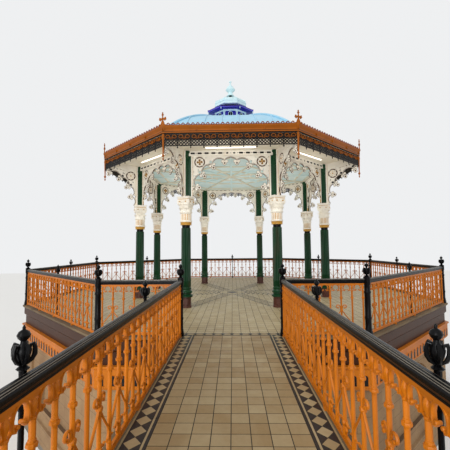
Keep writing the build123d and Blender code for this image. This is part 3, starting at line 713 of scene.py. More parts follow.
def moulded_handrail(length):
    """The black top rail: a hollow throat, round shoulders and three ridges, with thin light strips along the
    ridges as painted highlights.
    """
    half, low, top = HANDRAIL_HALF, PANEL_TOP, RAIL_TOP
    right = [(0.02, low), (0.02, low + 0.016), (half * 0.8, low + 0.026), (half, low + 0.04)]
    right += [(half, top - 0.03), (half * 0.9, top - 0.02), (half * 0.62, top - 0.016)]
    right += [(half * 0.58, top - 0.008), (half * 0.3, top - 0.007), (half * 0.22, top)]
    # Thin light-grey strips along the ridges: painted highlights.
    painted_highlights = []
    for side in (-1, 1):
        for share, drop in ((0.26, 0.004), (0.6, 0.0105), (0.8, 0.0185)):
            y, z = side * half * share, top - drop
            painted_highlights.append(block(0, length, y - 0.0016, y + 0.0016, z - 0.002, z + 0.002))
    return painted([bar(symmetric(right), 0, length)], painted_highlights)


def run_frame(start, end):
    """From a drawing along +X to the line from start to end on the deck."""
    return shift(*start, DECK) @ spin(atan2(end[1] - start[1], end[0] - start[0]))


# Runs of railing, each from its start to its end in plan
CORNER_X = HALF_SIDE * RAIL_APOTHEM - NEWEL_HALF
GATE_X = BRIDGE_HALF_RAIL + GATE_HALF
SIDE_RUN = ((-CORNER_X, -RAIL_APOTHEM), (CORNER_X, -RAIL_APOTHEM))
FRONT_RUNS = [
    ((-CORNER_X, -RAIL_APOTHEM), (-GATE_X, -RAIL_APOTHEM)),
    ((GATE_X, -RAIL_APOTHEM), (CORNER_X, -RAIL_APOTHEM)),
]
BRIDGE_RUNS = {}
for hand, x in (("left", -BRIDGE_HALF_RAIL), ("right", BRIDGE_HALF_RAIL)):
    BRIDGE_RUNS[hand] = ((x, -BRIDGE_RAIL_END), (x, -RAIL_APOTHEM - GATE_HALF))


def placed(make, run):
    """What a function makes for the length of a run, and its place."""
    start, end = run
    return make(hypot(end[0] - start[0], end[1] - start[1])), run_frame(start, end)


def railings():
    panel, place = placed(cast_panel, SIDE_RUN)
    for k in range(1, SIDES):
        name = SIDE_NAMES[k]
        whole = join((panel, spin(TURN * k) @ place))
        piece(f"railing_{name}", whole, ["rail_orange"], [f"deck_rail_{name}"])
    short = join(*[placed(cast_panel, run) for run in FRONT_RUNS])
    piece("railing_front", short, ["rail_orange"], ["deck_rail_front"])
    for hand, run in BRIDGE_RUNS.items():
        long = join(placed(cast_panel, run))
        piece(f"railing_bridge_{hand}", long, ["rail_orange"], [f"bridge_rail_{hand}"])


def handrails():
    slots = ["rail_black", "rail_ridge"]
    rail, place = placed(moulded_handrail, SIDE_RUN)
    whole = [(rail, spin(TURN * k) @ place) for k in range(1, SIDES)]
    whole += [placed(moulded_handrail, run) for run in FRONT_RUNS]
    piece("handrail_deck", join(*whole), slots, ["deck_handrails"])
    whole = [placed(moulded_handrail, run) for run in BRIDGE_RUNS.values()]
    piece("handrail_bridge", join(*whole), slots, ["bridge_handrails"])


def leaf_urn(width, height, leaves):
    """An urn in a cage of scrolled leaves, under a small ball and spike."""
    half = width / 2
    body = [(0.5, 0), (0.62, 0.03), (0.28, 0.1), (0.36, 0.16), (0.62, 0.3), (0.72, 0.42), (0.56, 0.52)]
    body += [(0.3, 0.59), (0.26, 0.64), (0.5, 0.7), (0.62, 0.77), (0.46, 0.85), (0.14, 0.9), (0.16, 0.94)]
    body += [(0.04, 1)]
    leaf = [(0.3, 0.12), (0.7, 0.2), (0.96, 0.32), (0.98, 0.47), (0.82, 0.57), (0.62, 0.55), (0.58, 0.46)]
    leaf += [(0.68, 0.43)]
    widths = [0.012, 0.022, 0.026, 0.022, 0.02, 0.015, 0.01, 0.007]
    blade = stroke(scaled(leaf, half, height), widths, half * 0.36)
    return join(lathe(scaled(body, half, height), 10), *around(blade, leaves, UPRIGHT, pi / leaves))


def newel_post(half, top):
    """An octagonal newel with a sunk panel, a ring and a spread foot."""
    levels = [(1.18, 0), (1.18, 0.05), (1.04, 0.09), (0.98, 0.13), (0.88, 0.14), (0.88, 0.3), (1, 0.315)]
    levels += [(1, 0.345), (0.88, 0.36), (0.86, 0.78), (1, 0.8), (1, 0.82), (0.84, 0.84), (0.84, 0.94)]
    levels += [(1, 0.965), (1, top - 0.012), (0.7, top)]
    return octagonal(scaled(levels, half, 1))


def newels():
    top = RAIL_TOP + 0.04
    urn = (leaf_urn(0.128, 0.27, 8), shift(0, 0, top))
    corner = join(newel_post(NEWEL_HALF, top), urn)
    whole = at_corners(corner, RAIL_APOTHEM, DECK, spin(TURN / 2))
    piece("newel_corners", whole, ["rail_black"], ["corner_newels"])
    gate = join(newel_post(0.054, top), urn)
    pair = [(gate, shift(side * BRIDGE_HALF_RAIL, -RAIL_APOTHEM, DECK)) for side in (-1, 1)]
    piece("newel_gates", join(*pair), ["rail_black"], ["gate_newels"])


def standards():
    """The slender props beside the rails."""
    width = 0.046
    profile = [(0.031, 0), (0.031, 0.05), (0.02, 0.075), (0.016, 0.4), (0.024, 0.42), (0.024, 0.44)]
    profile += [(0.015, 0.46), (0.015, 0.86), (0.023, 0.88), (0.023, 0.9), (0.016, 0.93), (0.02, RAIL_TOP)]
    post = join(lathe(profile, 8), (leaf_urn(0.108, 0.225, 5), shift(0, 0, RAIL_TOP - 0.004)))
    reach = HANDRAIL_HALF + width / 2
    spots = [spin(TURN * k) @ shift(0, -RAIL_APOTHEM + reach, DECK) for k in range(1, SIDES)]
    for bay in range(1, BRIDGE_BAYS + 1):
        y = -RAIL_APOTHEM - bay * (BRIDGE_RAIL_END - RAIL_APOTHEM) / BRIDGE_BAYS
        inset = width if bay == BRIDGE_BAYS else 0
        spots += [shift(side * (BRIDGE_HALF_RAIL + reach), y + inset, DECK) for side in (-1, 1)]
    piece("standard_props", join(*[(post, spot) for spot in spots]), ["rail_black"], ["rail_standards"])


railings()
handrails()
newels()
standards()


# Columns, capitals and posts

REEDS = 16
CAPITAL_SPREAD = 1.1
PLINTH_HALF = 0.14
POST_HALF = 0.078


def reeded_column():
    """A reeded green shaft on its base mouldings, with a black neck under the capital."""
    top = CAPITAL_BOTTOM - DECK

    def reed(angle):
        return 1 - 0.17 * (1 - abs(sin(angle * REEDS / 2))) ** 1.3

    profile = [(0.128, 0.565), (0.139, 0.585), (0.139, 0.72), (0.144, 0.74), (0.144, 0.76), (0.138, 0.78)]
    profile += [(0.136, 1.4), (0.133, top - 0.085), (0.116, top - 0.07)]
    base = [(0.19, 0.3), (0.19, 0.335), (0.165, 0.355), (0.145, 0.37), (0.145, 0.4), (0.178, 0.415)]
    base += [(0.178, 0.45), (0.15, 0.47), (0.138, 0.5), (0.15, 0.515), (0.15, 0.545), (0.122, 0.57)]
    base += [(0.118, 0.59)]
    neck = [(0.114, top - 0.08), (0.114, top), (0.104, top + 0.004)]
    return painted([lathe(profile, REEDS * 6, flutes=reed), lathe(base, 32)], [lathe(neck, 24)])


def plinth():
    """An octagonal plinth with a sunk panel on each face."""
    half = PLINTH_HALF
    wall = half - 0.004
    base = octagonal([(half + 0.012, 0), (half + 0.012, 0.045), (wall, 0.06), (wall, 0.062)])
    core = octagonal([(half - 0.016, 0.05), (half - 0.016, 0.29)])
    cap = octagonal([(wall, 0.268), (half + 0.01, 0.282), (half + 0.01, 0.3), (half - 0.02, 0.305)])
    face = HALF_SIDE * wall
    bars = [(-face, 0.022 - face, 0.055, 0.275), (face - 0.022, face, 0.055, 0.275)]
    bars += [(-face, face, 0.055, 0.082), (-face, face, 0.248, 0.275)]
    panel = join(*[block(*sizes, -0.012, 0) for sizes in bars])
    return join(base, core, cap, on_sides(panel, wall))


def curled_leaf(width, height, out):
    """A leaf that leans out from a bell and curls over at its tip; up is +Z, outwards +X."""
    thickness, tip = 0.012, 0.105
    spine = [(0.0, 0.0), (0.004, 0.3), (0.012, 0.6), (0.035, 0.85), (0.07, 1.0), (0.1, 0.96), (tip, 0.86)]
    shares = [0.55, 0.85, 1.0, 0.92, 0.8, 0.55, 0.25]
    section = [(0, -1), (1, -0.35), (0.4, 0), (1, 0.35), (0, 1), (-0.6, 0)]
    rings = []
    for (x, z), share in zip(spine, shares):
        half = width / 2 * share
        rings.append([(x / tip * out + thickness * a, half * b, z * height) for a, b in section])
    return prism(rings, True)


def capital_face(face):
    """The carving on one face of the block, up from its top edge: cream and gold parts."""
    corner = [(0.14, -0.085), (0.15, -0.12), (0.145, -0.2), (0.13, -0.235)]
    sprig = [(0.03, -0.222), (0.07, -0.232), (0.118, -0.226), (0.15, -0.2)]
    scroll = spiral(0.088, -0.15, 0.057, 0.016, 10, 420, 18)
    creams, golds = [], [block(-face + 0.01, face - 0.01, -0.084, -0.074, 0.0, 0.006)]
    for side in (-1, 1):
        creams.append(stroke(handed(scroll, side), [0.02] * 8 + [0.017] * 6 + [0.013] * 5, 0.034))
        creams.append(stroke(handed(sprig, side), [0.012, 0.022, 0.02, 0.006], 0.026))
        creams.append(stroke(handed(corner, side), [0.01, 0.018, 0.02, 0.008], 0.028))
        golds.append(disc(side * 0.088, -0.15, 0.017, 0.04, 10, dome=0.006))
    for lean in (-0.6, 0, 0.6):
        frond = scaled([(0.012, -0.245), (0.03, -0.19), (0.062, -0.125), (0.05, -0.092)], lean, 1)
        creams.append(stroke(frond, [0.012, 0.022, 0.026, 0.008], 0.03))
    return join(*creams), join(*golds)


def capital():
    """Square abacus and carved block on a leafy bell, a fluted neck between rings; the gold core between the
    neck's cream fillets is painted shade in the flutes.
    """
    low, top = CAPITAL_BOTTOM - DECK, CAPITAL_TOP - DECK
    half, face = 0.182, 0.158
    squares = [
        [(half - 0.01, 0), (half, -0.006), (half, -0.026), (half - 0.008, -0.034)],
        [(half - 0.008, -0.034), (half - 0.014, -0.04), (half - 0.014, -0.056), (half - 0.03, -0.07)],
        [(face, -0.06), (face, -0.215), (face - 0.012, -0.25), (0.125, -0.3), (0.118, -0.34)],
    ]
    creams = [square_stack(moved(levels, 0, top)) for levels in squares]
    golds = []
    cream, gold = capital_face(face)
    on_face = shift(0, -face - 0.001, top) @ UPRIGHT
    creams += around(cream, 4, on_face)
    golds += around(gold, 4, on_face)
    creams += around(curled_leaf(0.1, 0.118, 0.058), 8, shift(0.128, 0, top - 0.436))
    creams += around(curled_leaf(0.075, 0.09, 0.042), 8, shift(0.138, 0, top - 0.434), pi / 8)
    creams.append(lathe(moved([(0.124, -0.3), (0.128, -0.36), (0.134, -0.436)], 0, top), 24))
    ring = [(0.13, -0.434), (0.163, -0.44), (0.169, -0.456), (0.163, -0.474), (0.138, -0.482)]
    creams.append(lathe(moved(ring, 0, top), 36))
    creams.append(lathe(moved([(0.125, -0.478), (0.142, -0.486), (0.142, -0.5)], 0, top), 36))
    neck_low, neck_top = low + 0.142, top - 0.498
    # The gold core seen between the fillets: painted shade in the flutes.
    golds.append(lathe([(0.132, neck_top), (0.133, top - 0.515), (0.133, low + 0.15), (0.13, neck_low)], 36))
    fillet = block(0.126, 0.142, -0.0105, 0.0105, neck_low, neck_top)
    creams += around(fillet, 20, Matrix())
    ring = [(0.13, 0.142), (0.15, 0.138), (0.16, 0.124), (0.16, 0.104), (0.15, 0.092), (0.135, 0.088)]
    creams.append(lathe(moved(ring, 0, low), 36))
    ring = [(0.134, 0.088), (0.148, 0.08), (0.15, 0.066), (0.139, 0.05), (0.139, 0.034), (0.149, 0.022)]
    golds.append(lathe(moved(ring + [(0.149, 0.01), (0.12, 0.004)], 0, low), 36))
    return painted(creams, golds, [lathe([(0.104, low - 0.004), (0.112, low + 0.012)], 24)])


def columns():
    shafts = at_corners(reeded_column(), COLUMN_APOTHEM, DECK)
    piece("column_shafts", shafts, ["column_green", "rail_black"], ["columns"])
    blocks = at_corners(plinth(), COLUMN_APOTHEM, DECK, spin(TURN / 2))
    piece("column_plinth_blocks", blocks, ["plinth_brown"], ["column_plinths"])
    spread = Matrix.Diagonal((CAPITAL_SPREAD, CAPITAL_SPREAD, 1, 1))
    capitals = at_corners(capital(), COLUMN_APOTHEM, DECK, spread)
    piece("column_capitals", capitals, ["capital_cream", "capital_gold", "rail_black"], ["capitals"])


def upper_posts():
    """Green posts from the capitals to the soffit: a fluted core, three fins and a flared head."""
    low, top, rise = CAPITAL_TOP - DECK, BEAM_BOTTOM - DECK, BEAM_TOP - DECK - 0.004
    half, reach = POST_HALF, 0.094
    levels = [(half + 0.01, low), (half + 0.01, low + 0.03), (half - 0.01, low + 0.045)]
    levels += [(half - 0.01, top - 0.12), (half + 0.004, top - 0.105), (half + 0.004, top - 0.09)]
    levels += [(half - 0.006, top - 0.075), (half + 0.03, top - 0.03), (half + 0.03, top)]
    casing = square_stack([(half - 0.01, top - 0.14), (reach, top - 0.12), (reach, rise)])
    flare = [(half, -0.17), (half + 0.014, -0.12), (half + 0.03, -0.08), (half + 0.056, -0.045)]
    flare += [(half + 0.056, 0)]
    head = square_stack(moved(flare, 0, rise))
    parts = [square_stack(levels), casing, (head, shift(-0.062, 0, 0))]
    rod = lathe([(0.012, low + 0.04), (0.012, top - 0.03)], 8)
    for offset in (-0.058, -0.02, 0.02, 0.058):
        parts += around(rod, 4, shift(half - 0.011, offset, 0))
    for turn, reach in ((TURN * 2.5, POST_FIN), (-TURN * 2.5, POST_FIN), (0.0, POST_CASING)):
        web = block(0.05, reach, -0.016, 0.016, low, top)
        edge = block(reach - 0.026, reach, -0.024, 0.024, low, top)
        parts.append((join(web, edge), spin(turn)))
    piece("post_shafts", at_corners(join(*parts), COLUMN_APOTHEM, DECK), ["post_green"], ["upper_posts"])


# Filigree

SCREEN_HEIGHT = BEAM_BOTTOM - CAPITAL_TOP
HALF_SCREEN = HALF_SIDE * COLUMN_APOTHEM - POST_WIDTH / 2
SCREEN_EDGE = HALF_SIDE * COLUMN_APOTHEM - POST_FIN
SCREEN_DEPTH = 0.03
RING = 0.056
RING_HOLE = 0.026
LOBE = 0.037
EYE = 0.041
MEDALLION = 0.156
MEDALLION_DISC = 0.128

# Cusps: the tip as shares of width and height, the way it points, and how far behind it the root lies
ARCH_CUSPS = [
    ((0.145, 0.775), (0.0, -1.0), 0.14),
    ((0.391, 0.669), (-0.42, -0.9), 0.17),
    ((0.589, 0.471), (-0.75, -0.66), 0.17),
    ((0.705, 0.212), (-0.97, -0.25), 0.155),
]
BRACKET_CUSPS = [
    ((0.372, 0.237), (1.0, -0.12), 0.15),
    ((0.469, 0.49), (0.86, -0.5), 0.17),
    ((0.682, 0.699), (0.72, -0.7), 0.17),
    ((0.952, 0.82), (0.42, -0.9), 0.16),
]

# Where the arch springs, as a share of the half width
ARCH_FOOT = 0.905

# How far the edge bows out between two cusps, as shares of their distance, from the foot up
ARCH_BULGES = [0.26, 0.3, 0.25, 0.3]
CROWN_BULGE = 0.27
BRACKET_BULGES = [0.26, 0.3, 0.26, 0.28, 0.24]


def bulge(start, end, share, count=8):
    """Points of the arc from start to end that bows out to the left of the way by a share of it."""
    dx, dy = end[0] - start[0], end[1] - start[1]
    size = hypot(dx, dy)
    rise = share * size
    radius = (size * size / 4 + rise * rise) / (2 * rise)
    cx = (start[0] + end[0]) / 2 - dy / size * (rise - radius)
    cy = (start[1] + end[1]) / 2 + dx / size * (rise - radius)
    first = atan2(start[1] - cy, start[0] - cx)
    last = atan2(end[1] - cy, end[0] - cx)
    while last > first:
        last -= 2 * pi
    return [polar(cx, cy, radius, first + (last - first) * k / count) for k in range(count + 1)]


class Filigree:
    """Pierced ironwork: its cream, gold and dark parts, and the holes of its plate; most dark parts are
    painted shadows.
    """

    def __init__(self):
        self.cream, self.gold, self.dark, self.holes = [], [], [], []

    def cusp(self, tip, way, back):
        """A ring on a neck between two round lobes, with painted shadows: a brown disc in the ring's hole and
        dark rings round ring and lobes; gives its root and the spot behind the root.
        """
        size = hypot(*way)
        dx, dy = way[0] / size, way[1] / size
        depth = SCREEN_DEPTH

        def at(s, t=0.0):
            return (tip[0] - dx * s - dy * t, tip[1] - dy * s + dx * t)

        middle = at(RING)
        self.cream.append(annulus(*middle, RING, RING_HOLE, depth + 0.006, 16))
        # Painted shadows: a brown disc in the ring's hole and dark rings behind the ring and the lobes.
        self.dark.append(disc(*middle, RING_HOLE + 0.004, depth - 0.008, 8))
        self.dark.append(annulus(*middle, RING + 0.007, RING - 0.01, depth - 0.01, 14, FLAT))
        self.cream.append(stroke([at(RING * 1.75), at(back + 0.03)], [0.03, 0.044], depth - 0.004))
        for t in (-0.064, 0.064):
            lobe = at(back - 0.03, t)
            self.cream.append(disc(*lobe, LOBE - 0.008, depth - 0.01, 12))
            self.cream.append(annulus(*lobe, LOBE, LOBE - 0.012, depth + 0.008, 14))
            self.dark.append(annulus(*lobe, LOBE + 0.006, LOBE - 0.01, depth - 0.016, 10, FLAT))
        for t in (-0.032, 0.032):
            self.cream.append(disc(*at(back - 0.008, t), 0.022, depth - 0.006, 8))
        return at(back), at(back + 0.07)

    def eye(self, spot):
        """A ringed hole."""
        self.holes.append(circle(*spot, EYE, 14))
        self.cream.append(annulus(*spot, EYE + 0.01, EYE, SCREEN_DEPTH + 0.012, 14))

    def drop(self, x, y, angle, length, width):
        """A pierced drop with its point at (x, y), leaning at the angle."""
        ca, sa = cos(angle), sin(angle)
        shape = [(0, 0), (0.45, 0.32), (0.75, 0.5), (0.95, 0.32), (1, 0), (0.95, -0.32), (0.75, -0.5)]
        shape += [(0.45, -0.32)]
        sized = scaled(shape, length, width)
        self.holes.append([(x + ca * a - sa * b, y + sa * a + ca * b) for a, b in sized])

    def medallion(self, x, y, rayed):
        """A scalloped disc held in its round hole by four tabs, with eight rays or four curls."""
        depth = SCREEN_DEPTH

        def spoke(radii, angle, width, proud):
            return stroke([polar(x, y, r, angle) for r in radii], width, depth + proud)

        self.holes.append(circle(x, y, MEDALLION, 32))
        angles = [2 * pi * k / 48 for k in range(48)]
        edge = [polar(x, y, MEDALLION_DISC - 0.008 + 0.008 * cos(8 * angle), angle) for angle in angles]
        self.cream.append(plate([edge], depth, 0.003))
        self.cream.append(annulus(x, y, MEDALLION + 0.02, MEDALLION - 0.001, depth + 0.016, 32))
        self.gold.append(disc(x, y, 0.022, depth + 0.03, 10, dome=0.005))
        self.dark.append(disc(x, y, MEDALLION + 0.004, 0.006, 32))
        for k in range(4):
            tab = (MEDALLION_DISC - 0.012, MEDALLION + 0.008)
            self.cream.append(spoke(tab, pi / 4 + pi / 2 * k, 0.02, -0.004))
        if rayed:
            for k in range(8):
                angle = pi / 4 * k + pi / 8
                self.cream.append(spoke((0.03, 0.06, 0.09, 0.108), angle, [0.012, 0.032, 0.036, 0.01], 0.022))
                self.gold.append(spoke((0.05, 0.08, 0.106), angle + pi / 8, [0.008, 0.012, 0.016], 0.01))
        else:
            for angle in (0, 90, 180, 270):
                cx, cy = polar(x, y, 0.06, radians(angle))
                curl = spiral(cx, cy, 0.04, 0.009, angle + 200, angle - 170, 11)
                self.gold.append(stroke(curl, [0.018] * 6 + [0.014] * 4 + [0.009, 0.007], depth + 0.024))
                self.dark.append(disc(cx, cy, 0.03, depth + 0.004, 10))
            self.cream.append(annulus(x, y, 0.121, 0.105, depth + 0.016, 24))

    def pierce(self, outline, edge):
        """The plate with all its holes, beaded along its cusped edge, with a brown painted shadow line either
        side of the bead.
        """
        self.cream.append(plate([outline] + self.holes, SCREEN_DEPTH - 0.004, 0.003))
        self.cream.append(stroke(edge, 0.016, SCREEN_DEPTH + 0.01))
        self.dark.append(stroke(edge, 0.03, SCREEN_DEPTH - 0.001, FLAT))

    def whole(self):
        return painted(self.cream, self.gold, self.dark)


def screen():
    """One side's filigree: a cusped arch between flanges, pierced and beaded, with two medallions."""
    half, height = HALF_SCREEN, SCREEN_HEIGHT
    work = Filigree()
    roots = []
    for (a, b), way, back in ARCH_CUSPS:
        for side in (-1, 1):
            root, behind = work.cusp((side * a * half, b * height), (side * way[0], way[1]), back)
            if b < 0.7:
                work.eye(behind)
        roots.append(root)
    flank = [(ARCH_FOOT * half, 0.0)]
    for spot, share in zip(reversed(roots), ARCH_BULGES):
        flank += bulge(spot, flank[-1], share)[-2::-1]
    crown = bulge((-roots[0][0], roots[0][1]), roots[0], CROWN_BULGE)
    edge = symmetric(flank, crown[-2:0:-1])
    across, up = 0.738 * half, 0.849 * height
    for side in (-1, 1):
        work.medallion(side * across, up, False)
        for angle, reach in ((35, 0.075), (145, 0.06), (-35, 0.09), (-80, 0.07)):
            turn = radians(angle if side > 0 else 180 - angle)
            work.drop(*polar(side * across, up, MEDALLION + 0.032, turn), turn, reach, 0.028)
        for k in range(6):
            work.drop(side * (SCREEN_EDGE - 0.072), 0.12 + 0.115 * k, pi / 2, 0.062, 0.024)
        for y, radius in ((0.47, 0.014), (0.55, 0.017), (0.62, 0.014)):
            work.holes.append(circle(side * (SCREEN_EDGE - 0.115), y, radius, 8))
    work.pierce([(half, 0), (half, height), (-half, height), (-half, 0)] + edge[::-1], edge)
    for side in (-1, 1):
        x = side * (SCREEN_EDGE - 0.018)
        work.cream.append(block(x - 0.018, x + 0.018, 0, height, -0.018, 0.018))
        x = side * (SCREEN_EDGE - 0.046)
        work.gold.append(block(x - 0.003, x + 0.003, 0.02, height - 0.03, -0.017, 0.017))
    return work.whole()


def bracket():
    """A cusped bracket in a corner plane; x runs outwards from the post's middle line."""
    reach = (VALANCE_APOTHEM - 0.031 - COLUMN_APOTHEM) * TO_CORNER
    height, start = SCREEN_HEIGHT, POST_CASING
    under = GUTTER_BOTTOM - CAPITAL_TOP - SOFFIT_DEPTH
    bend = (SOFFIT_END - COLUMN_APOTHEM) * TO_CORNER
    rise = BEAM_TOP - CAPITAL_TOP
    work = Filigree()
    roots = []
    for (a, b), way, back in BRACKET_CUSPS:
        root, behind = work.cusp((a * reach, b * height), way, back)
        work.eye(behind)
        roots.append(root)
    edge = [(0.2 * reach, 0.0)]
    for spot, share in zip(roots + [(reach, height * 1.06)], BRACKET_BULGES):
        edge += bulge(edge[-1], spot, share)[1:]
    work.cream.append(annulus(reach - 0.05, height * 1.02, 0.05, 0.018, SCREEN_DEPTH + 0.006, 14))
    x, y = 0.292 * reach, 0.849 * height
    work.medallion(x, y, True)
    for angle, length in ((-60, 0.09), (-110, 0.07), (20, 0.1), (60, 0.07)):
        turn = radians(angle)
        work.drop(*polar(x, y, MEDALLION + 0.03, turn), turn, length, 0.03)
    for k in range(4):
        work.drop(0.53 + 0.1 * k, 1.19 + 0.018 * k, radians(8), 0.07, 0.03)
    work.pierce([(start, 0)] + edge + [(reach, under), (bend, under), (start, rise + 0.02)], edge)
    work.cream.append(block(start, start + 0.03, 0, rise, -0.045, 0.045))
    work.gold.append(block(start + 0.048, start + 0.054, 0.02, rise - 0.03, -0.019, 0.019))
    return work.whole()


def filigree():
    paints = ["filigree_cream", "capital_gold", "filigree_brown"]
    piece("filigree_screens", on_sides(screen(), COLUMN_APOTHEM, CAPITAL_TOP), paints, ["arch_screens"])
    brackets = at_corners(bracket(), COLUMN_APOTHEM, CAPITAL_TOP, UPRIGHT)
    piece("filigree_brackets", brackets, paints, ["eaves_brackets"])


def pierced_beam():
    """The beam over each side: two strips with a row of long rounded slots, edge plates and a dark core."""
    half, height = HALF_SIDE * COLUMN_APOTHEM - 0.09, BEAM_TOP - BEAM_BOTTOM
    slots, pitch, level, end = 12, 0.2, 0.07, 0.026
    holes = []
    for k in range(slots):
        x = (k - (slots - 1) / 2) * pitch
        run = (0.062 if k in (5, 6) else 0.13) / 2 - end
        holes.append(arc(x + run, level, end, -90, 90, 5) + arc(x - run, level, end, 90, 270, 5))
    for k in range(slots - 1):
        holes.append(circle((k - (slots - 2) / 2) * pitch, level, 0.011, 8))
    strip = plate([rectangle(-half, half, 0, height)] + holes, 0.014, 0.003)
    cream = [(strip, shift(0, 0, out)) for out in (-0.06, 0.06)]
    cream.append(block(-half, half, -0.004, 0.014, -0.072, 0.072))
    cream.append(block(-half, half, height - 0.02, height, -BEAM_HALF, BEAM_HALF))
    core = block(-half, half, 0.02, height - 0.02, -0.03, 0.03)
    beams = on_sides(painted(cream, [core]), COLUMN_APOTHEM, BEAM_BOTTOM)
    piece("beam_strips", beams, ["filigree_cream", "valance_dark"], ["arch_beam"])


columns()
upper_posts()
filigree()
pierced_beam()


# Eaves

LACE_MODULES = 10
CREST_APOTHEM = EAVES_APOTHEM - 0.03


def lace_module(pitch):
    """A pair of C scrolls on short legs, and the lattice under it, about x = 0."""
    scrolls, lattice = [], []
    widths = [0.012, 0.016] + [0.019] * 9 + [0.016] * 4 + [0.012] * 5
    for side in (-1, 1):
        cx = side * pitch / 4
        curl = arc(cx, -0.103, 0.053, 90 + side * 140, 90 - side * 60, 11)
        curl += spiral(cx, -0.103, 0.053, 0.026, 90 - side * 75, 90 - side * 210, 7)
        scrolls.append(stroke(curl, widths, 0.022))
        scrolls.append(disc(*curl[-1], 0.011, 0.026, 8, dome=0.003))
        leg = [(0.012, -0.172), (0.02, -0.14), (0.006, -0.11)]
        scrolls.append(stroke(handed(leg, side), [0.01, 0.012, 0.005], 0.018))
    cross = [(-pitch / 8, 0.04), (-0.008, 0.01), (0.008, -0.01), (pitch / 8, -0.04)]
    for j in range(4):
        cx = (j - 1.5) * pitch / 4
        for cy in (-0.219, -0.298):
            for side in (-1, 1):
                bend = moved(handed(cross, side), cx, cy)
                lattice.append(stroke(bend, [0.026, 0.02, 0.02, 0.026], 0.018, FLAT))
            lattice.append(disc(cx, cy, 0.016, 0.022, 6))
            lattice.append(disc(cx + pitch / 8, cy + 0.04, 0.014, 0.02, 6))
    return join(*scrolls), join(*lattice)


def spear(wide):
    """A bar and a hanging blade under a knob, at x = 0."""
    blade = [(0, -0.335), (0, -0.355), (0, -0.362), (0, -0.38), (0, -0.408)]
    return join(
        stroke([(0, -0.19), (0, -0.26), (0, -0.33)], [0.012, 0.034, 0.016], 0.02),
        stroke(blade, [0.034, 0.014, 0.018, wide, 0.004], 0.02),
        disc(0, -0.352, 0.013, 0.024, 8),
    )


def valance():
    """Pairs of C scrolls over a lattice, with a spear under each joint of the modules; lattice, spears, rails
    and a board behind the scrolls are dark, painted shade of the backlit casting.
    """
    half = HALF_SIDE * VALANCE_APOTHEM - 0.031
    pitch = 2 * half / LACE_MODULES
    scrolls, lattice = lace_module(pitch)
    spears = [spear(0.036), spear(0.05)]
    # Lattice, spears, the two rails and a board behind the scrolls in near-black: painted shade, the casting
    # seen against the light.
    orange, dark = [], []
    for k in range(LACE_MODULES):
        joint, middle = shift(-half + k * pitch, 0, 0), shift(-half + (k + 0.5) * pitch, 0, 0)
        orange.append((scrolls, middle))
        dark += [(lattice, middle), (spears[k % 2], joint)]
    dark.append(block(-half, half, -0.345, -0.333, -0.013, 0.013))
    dark.append(block(-half, half, -0.182, -0.172, -0.014, 0.014))
    dark.append(block(-half, half, -0.178, 0.0, -0.03, -0.02))
    whole = on_sides(painted(orange, dark), VALANCE_APOTHEM, GUTTER_BOTTOM)
    piece("valance_lace", whole, ["eaves_orange", "valance_dark"], ["eaves_valance"])


def cresting():
    """A row of horseshoe loops with pointed heads along the gutter's edge."""
    loops = 26
    half = HALF_SIDE * CREST_APOTHEM - 0.08
    pitch = 2 * half / loops
    left = [(-0.052, 0.004), (-0.044, 0.02), (-0.046, 0.04), (-0.034, 0.06), (-0.012, 0.074)]
    loop = plate([symmetric(left, [(0, 0.08)]), circle(0, 0.037, 0.017, 14)], 0.018, 0.002)
    parts = [(loop, shift(-half + (k + 0.5) * pitch, 0, 0)) for k in range(loops)]
    parts.append(block(-half, half, 0, 0.016, -0.009, 0.009))
    parts += [disc(-half + k * pitch, 0.022, 0.014, 0.02, 8) for k in range(loops + 1)]
    whole = on_sides(join(*parts), CREST_APOTHEM, GUTTER_TOP)
    piece("cresting_loops", whole, ["cresting_red"], ["roof_cresting"])


def corner_finials():
    """A cross with drooping trefoil arms and a spiked head on a flared foot, over each corner."""
    right = [(0.096, 0), (0.094, 0.014), (0.07, 0.032), (0.052, 0.06), (0.044, 0.09), (0.03, 0.12)]
    right += [(0.016, 0.15), (0.03, 0.162), (0.05, 0.15), (0.056, 0.13), (0.076, 0.128), (0.084, 0.148)]
    right += [(0.104, 0.152), (0.112, 0.176), (0.098, 0.194), (0.104, 0.212), (0.086, 0.226)]
    right += [(0.064, 0.216), (0.046, 0.2), (0.022, 0.206), (0.013, 0.232), (0.013, 0.268), (0.03, 0.282)]
    right += [(0.034, 0.298), (0.018, 0.306), (0.014, 0.32), (0.018, 0.345)]
    cross = [plate([symmetric(right, [(0, 0.366)])], 0.028, 0.005)]
    cross.append(disc(0, 0.18, 0.024, 0.046, 10, dome=0.006))
    cross.append(disc(0, 0.29, 0.014, 0.036, 8, dome=0.004))
    for side in (-1, 1):
        cross.append(disc(side * 0.084, 0.18, 0.013, 0.038, 8, dome=0.004))
        brace = [(0.078, 0.012), (0.05, 0.034), (0.026, 0.08)]
        cross.append(stroke(handed(brace, side), [0.01, 0.014, 0.008], 0.036))
    foot = lathe([(0.035, 0), (0.035, 0.012), (0.024, 0.02), (0.02, 0.045)])
    whole = join((join(*cross), spin(pi / 2) @ UPRIGHT), foot)
    crosses = at_corners(whole, CREST_APOTHEM, GUTTER_TOP)
    piece("finial_crosses", crosses, ["eaves_orange"], ["corner_finials"])


